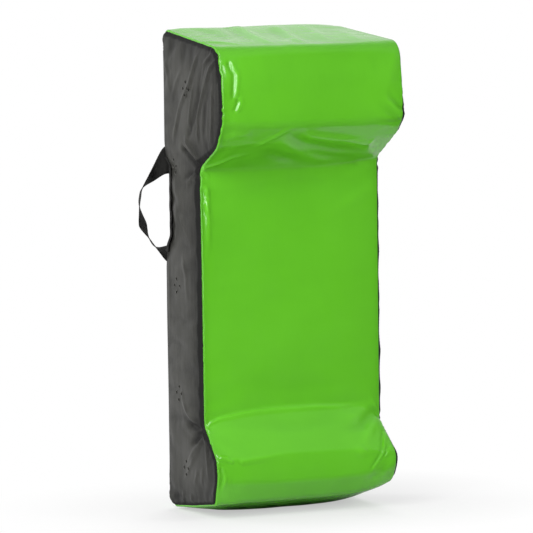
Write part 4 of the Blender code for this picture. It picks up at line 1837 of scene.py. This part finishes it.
@dataclass(frozen=True)
class CoatedCloth(Finish):
    """A coated cover cloth: smooth, a little glossy, with the weave just showing through, and with shade
    painted into its colour in hollows and along seams.

    Args:
        shade: The painted shade colour that it takes in hollows and along seams.
        roughness: Its lowest and highest roughness.
        threads: Threads per metre of the cloth under the coat.
        on_cloth: Whether the weave follows the cloth's own places.
        seam_dark: How much of the painted shade colour the cloth takes along a seam.
        streaks: How much darker the finest upright streaks are.
        seam_rough: How much rougher the cloth is along a seam.
    """

    name: str
    colour: Colour
    shade: Colour
    roughness: Pair
    threads: float
    on_cloth: bool
    seam_dark: float = 0.45
    specular: float = 0.5
    streaks: float = 0.04
    seam_rough: float = 0.0

    def inputs(self, sheet: NodeSheet, groups: Groups) -> dict[str, Value]:
        """What its shader is given.

        Args:
            sheet: The material's node sheet.
            groups: The node groups that it may use.

        Returns:
            Values and outputs by the name of the shader's socket.
        """
        where = sheet.where()
        if self.on_cloth:
            cloth = sheet.first("ShaderNodeUVMap", uv_map="cloth")
        else:
            cloth = sheet.first("ShaderNodeMapping", {"Vector": where, "Rotation": (0, math.pi / 2, 0)})
        relief, seam = (
            sheet.add("ShaderNodeAttribute", attribute_name=name).outputs["Fac"]
            for name in ("relief", "seam"))
        streaked = sheet.first("ShaderNodeMapping", {"Vector": where, "Scale": (420.0, 210.0, 30.0)})
        # Painted shade: darker where the cloth is sunk and along its seams; the mottle and the upright
        # streaks are the cloth's own uneven tone.
        dark = sheet.total(
            sheet.product(sheet.ranged(relief, -0.003, 0.002, 1.0, 0.0), 0.5),
            sheet.product(seam, self.seam_dark),
            sheet.product(groups.mottle(sheet, where, 9.0, 0.0, 1.0), 0.12),
            groups.mottle(sheet, streaked, 1.0, 0.0, self.streaks))
        rough = groups.mottle(sheet, where, 21.0, *self.roughness)
        grain = sheet.add("ShaderNodeTexNoise", {"Vector": where, "Scale": 260.0, "Detail": 3.0})
        weave = sheet.bump(0.5, 0.00001, groups.weave(sheet, cloth, self.threads))
        return {
            "Base Color": sheet.blend(dark, self.colour, self.shade),
            "Roughness": sheet.total(rough, sheet.product(seam, self.seam_rough)),
            "Specular IOR Level": self.specular,
            "Normal": sheet.bump(0.4, 0.00003, grain.outputs["Fac"], Normal=weave)}


@dataclass(frozen=True)
class WovenWebbing(Finish):
    """Ribbed black webbing."""

    name: str = "black_webbing"
    colour: Colour = (0.0060, 0.0060, 0.0054)
    wear_and_painted_shade: Colour = (0.014, 0.014, 0.0125)

    def inputs(self, sheet: NodeSheet, groups: Groups) -> dict[str, Value]:
        """What its shader is given.

        Args:
            sheet: The material's node sheet.
            groups: The node groups that it may use.

        Returns:
            Values and outputs by the name of the shader's socket.
        """
        weave = groups.weave(sheet, sheet.first("ShaderNodeUVMap", uv_map="cloth"), 620.0)
        patches = groups.mottle(sheet, sheet.where(), 60.0, 0.0, 0.5)
        wear = sheet.total(sheet.product(weave, 0.6), patches)
        return {
            "Base Color": sheet.blend(wear, self.colour, self.wear_and_painted_shade), "Roughness": 0.75,
            "Specular IOR Level": 0.25, "Normal": sheet.bump(0.7, 0.0004, weave)}


@dataclass(frozen=True)
class PorousFoam(Finish):
    """Open-celled foam."""

    name: str
    colour: Colour

    def inputs(self, sheet: NodeSheet, groups: Groups) -> dict[str, Value]:
        """What its shader is given.

        Args:
            sheet: The material's node sheet.
            groups: The node groups that it may use.

        Returns:
            Values and outputs by the name of the shader's socket.
        """
        where = sheet.where()
        cells = sheet.add("ShaderNodeTexVoronoi", {"Vector": where, "Scale": 700.0})
        pores = sheet.ranged(cells.outputs["Distance"], 0.1, 0.6, 0.0, 1.0)
        dark = sheet.total(sheet.product(pores, 0.4), groups.mottle(sheet, where, 30.0, 0.0, 0.3))
        return {
            "Base Color": sheet.blend(dark, self.colour, tuple(0.5 * part for part in self.colour)),
            "Roughness": 0.95, "Normal": sheet.bump(0.8, 0.0006, pores)}


@dataclass(frozen=True)
class Thread(Finish):
    """Twisted sewing thread, or the smooth filament of the zip's coils.

    Args:
        threads: Threads per metre of its fine weave or twist.
        relief: Strength of that relief.
        patches: Scale of its darker patches, the most that they darken, and their share of its colour.
        unevenness: Scale of its rougher patches, and how much rougher they are.
    """

    name: str
    colour: Colour
    roughness: float
    metallic: float = 0.0
    threads: float = 3200.0
    relief: float = 0.4
    patches: Triple = (90.0, 0.6, 0.5)
    unevenness: Pair = (150.0, 0.15)

    def inputs(self, sheet: NodeSheet, groups: Groups) -> dict[str, Value]:
        """What its shader is given.

        Args:
            sheet: The material's node sheet.
            groups: The node groups that it may use.

        Returns:
            Values and outputs by the name of the shader's socket.
        """
        where = sheet.where()
        scale, most, share = self.patches
        dark = groups.mottle(sheet, where, scale, 0.0, most)
        scale, uneven = self.unevenness
        rough = groups.mottle(
            sheet, where, scale, self.roughness * (1 - uneven), self.roughness * (1 + uneven))
        return {
            "Base Color": sheet.blend(dark, self.colour, tuple(share * part for part in self.colour)),
            "Roughness": rough, "Metallic": self.metallic,
            "Normal": sheet.bump(self.relief, 0.0001, groups.weave(sheet, where, self.threads))}


@dataclass(frozen=True)
class ZipFinish(Thread):
    """The finish of one of the zip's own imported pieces."""

    threads: float = 2400.0
    relief: float = 0.3
    patches: Triple = (120.0, 0.4, 0.7)
    unevenness: Pair = (300.0, 0.2)


def facing(azimuth: float, elevation: float) -> Vector:
    """The direction from the pad towards some radians to the right of its front, and some above it."""
    level = math.cos(elevation)
    return Vector((math.sin(azimuth) * level, -math.cos(azimuth) * level, math.sin(elevation)))


@dataclass(frozen=True)
class Lamp:
    """A soft box that faces the pad.

    Args:
        azimuth: Degrees to the right of straight in front.
        elevation: Degrees above the middle of the pad.
        distance: Metres from there.
        power: Its power in watts.
        mirrored: Whether glossy cloth mirrors it.
    """

    name: str
    azimuth: float
    elevation: float
    distance: float
    size: Pair
    power: float
    mirrored: bool = True

    def hang(self) -> None:
        """Hang the lamp in its place."""
        way = facing(math.radians(self.azimuth), math.radians(self.elevation))
        lamp = bpy.data.lights.new(self.name, "AREA")
        lamp.shape = "RECTANGLE"
        lamp.size, lamp.size_y = self.size
        lamp.energy = self.power
        holder = place_object(self.name, lamp)
        turn = (-way).to_track_quat("-Z", "Y").to_matrix().to_4x4()
        holder.matrix_world = Matrix.Translation(Vector((0, 0, 0.42)) + way * self.distance) @ turn
        holder.visible_glossy = self.mirrored


STUDIO_LAMPS = (
    Lamp("front_left", -50, 24, 3.4, (1.6, 1.6), 57),
    Lamp("front_right", 58, 23, 3.6, (1.6, 1.6), 62, False),
    Lamp("left_strip", -64, 20, 2.8, (0.42, 3.2), 44),
    Lamp("left_behind", -130, 10, 1.5, (0.7, 1.4), 17, False),
    Lamp("behind", 150, 38, 3.6, (2.0, 2.0), 84, False),
)


@dataclass
class Stage:
    """The floor, the light and the camera."""

    azimuth: float = math.radians(-24.401)
    elevation: float = math.radians(5.5112)
    roll: float = math.radians(-0.7928)
    distance: float = 9.0018
    focal_pixels: float = 5319.08
    frame_pixels: int = 533
    sensor: float = 36.0
    offset_pixels: Pair = (19.6436, 3.0468)
    target: Triple = (0.0, -0.0035, 0.41)
    fill: float = 0.30
    room_front: float = 0.10
    room_back: float = 0.86
    ceiling: float = 0.52
    floor_mirrored: float = 0.85
    floor_behind: float = 0.80
    floor_aside: float = 0.12

    def build(self) -> None:
        """Set up everything around the object."""
        bpy.context.scene.view_settings.view_transform = "Standard"
        self.place_camera()
        self.lay_floor()
        self.light()

    def place_camera(self) -> None:
        """Place the camera where the photograph was taken from."""
        back = facing(self.azimuth, self.elevation)
        level = Vector((math.cos(self.azimuth), math.sin(self.azimuth), 0))
        upright = back.cross(level)
        right = level * math.cos(self.roll) + upright * math.sin(self.roll)
        up = upright * math.cos(self.roll) - level * math.sin(self.roll)
        place = Vector(self.target) + back * self.distance
        aside, below = (pixels / self.focal_pixels for pixels in self.offset_pixels)
        back = (back + right * aside - up * below).normalized()
        right = (right - back * right.dot(back)).normalized()
        up = back.cross(right)
        camera = bpy.data.cameras.new("camera")
        camera.sensor_width = self.sensor
        camera.lens = self.focal_pixels / self.frame_pixels * self.sensor
        camera.clip_end = 100.0
        holder = place_object("camera", camera)
        holder.matrix_world = Matrix.Translation(place) @ Matrix((right, up, back)).transposed().to_4x4()
        bpy.context.scene.camera = holder

    def lay_floor(self) -> None:
        """A pale floor that turns white away from the object, and keeps its shadow."""
        form = bmesh.new()
        bmesh.ops.create_grid(form, x_segments=2, y_segments=2, size=30)
        material, sheet, shader = new_material("floor")
        sheet.feed(shader, {
            "Base Color": (0.62, 0.62, 0.62, 1), "Roughness": 0.9, "Specular IOR Level": 0.1})
        where = sheet.where()
        centred = sheet.first("ShaderNodeMapping", {"Vector": where, "Location": (0.0, -0.07, 0.0)})
        beyond = sheet.vector("SUBTRACT", sheet.vector("ABSOLUTE", centred), (0.14, 0.045, 0.0))
        beyond = sheet.vector("MAXIMUM", beyond, (0.0, 0.0, 0.0))
        away = sheet.add("ShaderNodeVectorMath", {0: beyond}, operation="LENGTH").outputs["Value"]
        seen = sheet.add("ShaderNodeLightPath").outputs
        parts = sheet.add("ShaderNodeSeparateXYZ", {0: where}).outputs
        ahead = parts["Y"]
        aside = sheet.product(sheet.math("ABSOLUTE", parts["X"]), 0.9)
        paper = sheet.ranged(ahead, -0.20, -0.12, self.room_front, self.floor_mirrored)
        paper = sheet.product(paper, sheet.ranged(ahead, 0.5, 1.5, 1.0, self.floor_behind))
        corner = sheet.math("SUBTRACT", ahead, aside)
        paper = sheet.product(paper, sheet.ranged(corner, -2.0, -0.9, self.floor_aside, 1.0))
        mirrored = sheet.product(sheet.ranged(away, 0.06, 0.19, 0.0, 1.0), seen["Is Glossy Ray"])
        plain = sheet.mix(mirrored, shader.outputs[0], sheet.glow("Emission", paper))
        share = sheet.product(sheet.ranged(away, 0.0, 0.36, 0.50, 1.0), seen["Is Camera Ray"])
        both = sheet.mix(share, plain, sheet.glow("Emission", 1.0))
        sheet.feed(material.node_tree.nodes["Material Output"], {"Surface": both})
        new_object("floor", mesh_from("floor", form), material)

    def light(self) -> None:
        """Soft lamps in front, at the left and behind, in a surround that is pale behind."""
        for lamp in STUDIO_LAMPS:
            lamp.hang()
        world = bpy.data.worlds.new("surround")
        bpy.context.scene.world = world
        world.use_nodes = True
        sheet = NodeSheet(world.node_tree)
        plain = world.node_tree.nodes["Background"]
        sheet.feed(plain, {"Color": WHITE, "Strength": self.fill})
        way = sheet.add("ShaderNodeTexCoord").outputs["Generated"]
        parts = sheet.add("ShaderNodeSeparateXYZ", {0: way}).outputs
        aside = sheet.product(sheet.math("ABSOLUTE", parts["X"]), 0.35)
        toward = sheet.math("SUBTRACT", parts["Y"], aside)
        room = sheet.ranged(toward, -0.15, 0.45, self.room_front, self.room_back)
        room = sheet.math("MAXIMUM", room, sheet.ranged(parts["Z"], 0.35, 0.75, 0.0, self.ceiling))
        seen = sheet.add("ShaderNodeLightPath").outputs
        inner = sheet.mix(seen["Is Glossy Ray"], plain.outputs[0], sheet.glow("Background", room))
        both = sheet.mix(seen["Is Camera Ray"], inner, sheet.glow("Background", 1.0))
        sheet.feed(world.node_tree.nodes["World Output"], {"Surface": both})


class Repeat(Enum):
    """What is repeated along the lines or at the places of a blank."""

    STITCH = "stitches"
    COIL = "coils"
    EYELET = "eyelets"


class SewnDetail:
    """Stitches, coils and eyelets, laid by Geometry Nodes along lines or at places."""

    def __init__(self) -> None:
        """Build one tree for each kind."""
        self.trees = {kind: self.tree(kind) for kind in Repeat}

    def tree(self, kind: Repeat) -> NodeTree:
        """The tree for one kind.

        Args:
            kind: What it repeats.

        Returns:
            The tree, whose inputs give the sizes, the seed and the material.
        """
        tree = bpy.data.node_groups.new(kind.value, "GeometryNodeTree")
        sockets = {"Blank": "Geometry", "Pitch": "Float", "Length": "Float", "Width": "Float",
                   "Depth": "Float", "Seed": "Int", "Finish": "Material"}
        for label, value in sockets.items():
            tree.interface.new_socket(label, in_out="INPUT", socket_type="NodeSocket" + value)
        tree.interface.new_socket("Sewn", in_out="OUTPUT", socket_type="NodeSocketGeometry")
        sheet = NodeSheet(tree)
        given, result = sheet.add("NodeGroupInput").outputs, sheet.add("NodeGroupOutput")
        points, shape, turn = (self.ring if kind is Repeat.EYELET else self.bead)(sheet, given)
        uneven = sheet.add("FunctionNodeRandomValue", {"Seed": given["Seed"]}, data_type="FLOAT")
        sheet.feed(uneven, {2: 0.92, 3: 1.06})
        placed = sheet.first("GeometryNodeInstanceOnPoints", {
            "Points": points, "Instance": shape, "Scale": uneven.outputs[1], **turn})
        real = sheet.first("GeometryNodeRealizeInstances", {"Geometry": placed})
        smooth = sheet.first("GeometryNodeSetShadeSmooth", {"Geometry": real})
        dressed = sheet.first("GeometryNodeSetMaterial", {"Geometry": smooth, "Material": given["Finish"]})
        sheet.feed(result, {"Sewn": dressed})
        return tree

    @staticmethod
    def ring(sheet: NodeSheet, given: NodeOutputs) -> tuple:
        """A ring at each place.

        Args:
            sheet: The tree's node sheet.
            given: The tree's inputs.

        Returns:
            The places, the ring, and how it is turned.
        """
        points = sheet.first("GeometryNodeMeshToPoints", {"Mesh": given["Blank"]})
        ring, cord = (
            sheet.first("GeometryNodeCurvePrimitiveCircle", {"Resolution": count, "Radius": given[size]})
            for count, size in ((16, "Length"), (6, "Width")))
        shape = sheet.first("GeometryNodeCurveToMesh", {"Curve": ring, "Profile Curve": cord})
        turned = {"Geometry": shape, "Rotation": (0.0, math.pi / 2, 0.0)}
        return points, sheet.first("GeometryNodeTransform", turned), {}

    @staticmethod
    def bead(sheet: NodeSheet, given: NodeOutputs) -> tuple:
        """A long bead at even steps along each line.

        Args:
            sheet: The tree's node sheet.
            given: The tree's inputs.

        Returns:
            The places, the bead, and how it is turned.
        """
        line = sheet.first("GeometryNodeMeshToCurve", {"Mesh": given["Blank"]})
        points = sheet.first(
            "GeometryNodeResampleCurve", {"Curve": line, "Length": given["Pitch"]}, mode="LENGTH")
        ball = sheet.first("GeometryNodeMeshUVSphere", {"Segments": 8, "Rings": 5, "Radius": 0.5})
        size = sheet.first("ShaderNodeCombineXYZ", {
            0: given["Length"], 1: given["Width"], 2: given["Depth"]})
        tangent = sheet.first("GeometryNodeInputTangent")
        turn = sheet.first("FunctionNodeAlignRotationToVector", {"Vector": tangent}, axis="X")
        shape = sheet.first("GeometryNodeTransform", {"Geometry": ball, "Scale": size})
        return points, shape, {"Rotation": turn}

    def sew(
        self, name: str, kind: Repeat, blank: Mesh, sizes: dict[str, float],
        finish: Material, slot: str, *nodes: str,
    ) -> None:
        """Lay one piece of sewn detail on the pad.

        Args:
            name: The piece's name.
            kind: What is repeated.
            blank: The lines or places.
            sizes: Values for the tree's inputs, by name.
            finish: Its material.
            slot: The record's material slot.
            nodes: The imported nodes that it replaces.
        """
        piece = place_object(name, blank)
        layer = piece.modifiers.new(kind.value, "NODES")
        layer.node_group = self.trees[kind]
        values = {**sizes, "Seed": 7, "Finish": finish}
        for item in layer.node_group.interface.items_tree:
            if item.in_out == "INPUT" and item.name in values:
                layer[item.identifier] = values[item.name]
        freeze(piece)
        declare(piece, slot, *nodes)


def line_mesh(name: str, lines: list[Array]) -> Mesh:
    """A mesh of open lines.

    Args:
        name: Its name.
        lines: The places on each line.

    Returns:
        The mesh.
    """
    edges, start = [], 0
    for line in lines:
        edges += [(start + k, start + k + 1) for k in range(len(line) - 1)]
        start += len(line)
    mesh = bpy.data.meshes.new(name)
    mesh.from_pydata(np.concatenate(lines).tolist(), edges, [])
    return mesh


PATCHES = ("zip_upper_patch", "zip_lower_patch")


def boxed(near: float, bottom: float, far: float, top: float) -> Array:
    """A row of stitches round a rectangle, as places across and up."""
    return np.array(((near, bottom), (far, bottom), (far, top), (near, top), (near, bottom)))


@dataclass
class BackSewing:
    """The sewing on the back, the zip's coils and the rims of the air holes.

    Args:
        strap_boxes: Where the box on each end of a strap begins and ends, from the pad's middle.
        base_row: Where the row along the webbing lies, and how far from its lower and its upper end.
    """

    form: CoverForm
    detail: SewnDetail
    groups: Groups
    stitch: dict[str, float] = field(default_factory=lambda: {
        "Pitch": 0.0034, "Length": 0.0026, "Width": 0.0007, "Depth": 0.0006})
    coil: dict[str, float] = field(default_factory=lambda: {
        "Pitch": 0.00152, "Length": 0.00125, "Width": 0.0022, "Depth": 0.0021})
    eyelet: dict[str, float] = field(default_factory=lambda: {"Length": 0.0033, "Width": 0.00055})
    lift: float = 0.0002
    zip_row: float = 0.0105
    patch_inset: float = 0.0024
    strap_inset: float = 0.005
    strap_boxes: tuple[tuple[str, float, float], ...] = (
        ("_upper_anchor", 0.1345, 0.1560), ("_lower_anchor", 0.1145, 0.1270))
    base_row: Triple = (0.1345, 0.024, 0.033)

    def build(self, carriers: list[Object], vents: dict[int, list[Array]]) -> None:
        """Sew everything.

        Args:
            carriers: The pieces that the stitches lie on.
            vents: The middles of the air holes on each side.
        """
        black = Thread("black_thread", (0.020, 0.020, 0.019), 0.55).make(self.groups)
        nylon = Thread("zip_teeth", (0.024, 0.024, 0.024), 0.32).make(self.groups)
        rim = Thread("rim_thread", (0.075, 0.075, 0.066), 0.50).make(self.groups)
        trees = [self.finder(piece) for piece in carriers]
        for name, lines, slot in (("zip_stitching", self.zip_rows() + self.patch_rows(), "zip_cloth"),
                                  ("strap_stitching", self.strap_rows(), "webbing")):
            rows = [self.laid(trees, line) for line in lines]
            self.detail.sew(name, Repeat.STITCH, line_mesh(name, rows), self.stitch, black, slot)
        for side, name in SIDE_NAMES.items():
            node = "zip_chain_" + name
            low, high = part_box(node)
            wide, deep = (low.x + high.x) / 2, (low.y + high.y) / 2
            shift = -0.0004 * side
            line = np.array(((wide, deep, low.z + 0.0008 + shift), (wide, deep, high.z - 0.0008 + shift)))
            self.detail.sew("zip_coil_" + name, Repeat.COIL, line_mesh("zip_coil", [line]), self.coil,
                            nylon, "zip_teeth", node)
            places = bpy.data.meshes.new("eyelets")
            places.from_pydata([tuple(place) for place in vents[side]], [], [])
            self.detail.sew(name + "_vent_rims", Repeat.EYELET, places, self.eyelet, rim, "grey_cover")

    @staticmethod
    def finder(piece: Object) -> BVHTree:
        """A search tree over a piece's faces.

        Args:
            piece: The piece.

        Returns:
            The tree.
        """
        mesh = piece.data
        return BVHTree.FromPolygons([vertex.co for vertex in mesh.vertices],
                                    [tuple(face.vertices) for face in mesh.polygons])

    def laid(self, trees: list[BVHTree], line: Array) -> Array:
        """A line of places across and up the back, laid on what is outermost there.

        Args:
            trees: Search trees of the pieces.
            line: Places across and up.

        Returns:
            The places in space.
        """
        steps = np.hypot(*np.diff(line, axis=0).T)
        done = np.concatenate(([0.0], np.cumsum(steps)))
        at = even_line(0.0, done[-1], 0.004)
        laid = []
        for wide, high in joined(np.interp(at, done, line[:, 0]), np.interp(at, done, line[:, 1])):
            hits = [tree.ray_cast(Vector((wide, 0.30, high)), Vector((0, -1, 0)))[0] for tree in trees]
            depth = max([hit.y for hit in hits if hit is not None], default=self.form.pad.back)
            laid.append((wide, depth + self.lift, high))
        return np.array(laid)

    def zip_rows(self) -> list[Array]:
        """One row on each side of the zip."""
        low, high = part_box("zip_bottom_stop")[0].z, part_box("zip_top_stop_left")[1].z
        return [np.array(((side * self.zip_row, low), (side * self.zip_row, high))) for side in SIDE_NAMES]

    def patch_rows(self) -> list[Array]:
        """One row round each patch over the zip's ends.

        Returns:
            The rows.
        """
        inset = self.patch_inset
        boxes = [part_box(node) for node in PATCHES]
        return [boxed(low.x + inset, low.z + inset, high.x - inset, high.z - inset) for low, high in boxes]

    def strap_rows(self) -> list[Array]:
        """A box and a cross on each end of each strap, and a row along the webbing under it.

        Returns:
            The rows.
        """
        rows = []
        for side, name in SIDE_NAMES.items():
            for place, inner, outer in self.strap_boxes:
                low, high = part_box(name + place)
                near, far = side * inner, side * outer
                bottom, top = low.z + self.strap_inset, high.z - self.strap_inset
                rows += [boxed(near, bottom, far, top), np.array(((near, bottom), (far, top))),
                         np.array(((near, top), (far, bottom)))]
            low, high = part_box(name + "_base_webbing")
            across, from_low, from_high = self.base_row
            rows.append(np.array(((side * across, low.z + from_low), (side * across, high.z - from_high))))
        return rows


def dress_zip(frame: dict, groups: Groups, grey: Material) -> None:
    """Give the zip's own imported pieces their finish.

    Args:
        frame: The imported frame.
        groups: The shared node groups.
        grey: The cover's material, for the patches over the zip's ends.
    """
    cloth = ZipFinish("zip_cloth", (0.016, 0.016, 0.016), 0.75).make(groups)
    teeth = ZipFinish("zip_teeth", (0.020, 0.020, 0.020), 0.35).make(groups)
    metal = ZipFinish("zip_metal", (0.42, 0.42, 0.41), 0.32, 1.0).make(groups)
    finishes = {"zip_tape": cloth, "zip_chain": teeth, "zip_slider": metal, "zip_pull": metal,
                "zip_bottom": metal, "zip_top": metal, **dict.fromkeys(PATCHES, grey)}
    for name, node in frame["nodes"].items():
        for start, material in finishes.items():
            if name.startswith(start):
                node.data.materials.clear()
                node.data.materials.append(material)


def main() -> None:
    """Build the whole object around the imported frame."""
    logging.basicConfig(level=logging.INFO, format="%(name)s: %(message)s")
    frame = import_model()
    groups = Groups()
    Stage().build()
    form = CoverForm(PadBox.read())
    # Each cover cloth's second colour is the shade painted into its sunk folds and along its seams.
    green = CoatedCloth("green_cover", (0.118, 0.490, 0.018), (0.070, 0.32, 0.010), (0.17, 0.25), 1100.0,
                        True).make(groups)
    grey = CoatedCloth("grey_cover", (0.0350, 0.0350, 0.0298), (0.0055, 0.0055, 0.0050), (0.34, 0.44), 1900.0,
                       False, 0.95, 0.26, 0.34, 0.35).make(groups)
    colours = {"firm_foam": (0.030, 0.030, 0.032), "body_foam": (0.055, 0.055, 0.058),
               "wedge_foam": (0.040, 0.044, 0.050)}
    foams = {name: PorousFoam(name, colour).make(groups) for name, colour in colours.items()}
    cloth = SettledCloth(form)
    cloth.settle()
    cover = Cover(form, cloth, green, grey)
    cover.build()
    webbing = WovenWebbing().make(groups)
    straps = [piece for side in (LEFT, RIGHT) for piece in CarryStrap(form, webbing, side).build()]
    Filling(form, foams).build()
    dress_zip(frame, groups, grey)
    patches = [frame["nodes"][name] for name in PATCHES]
    BackSewing(form, SewnDetail(), groups).build(cover.parts + straps + patches, cover.vents)


if __name__ == "__main__":
    main()
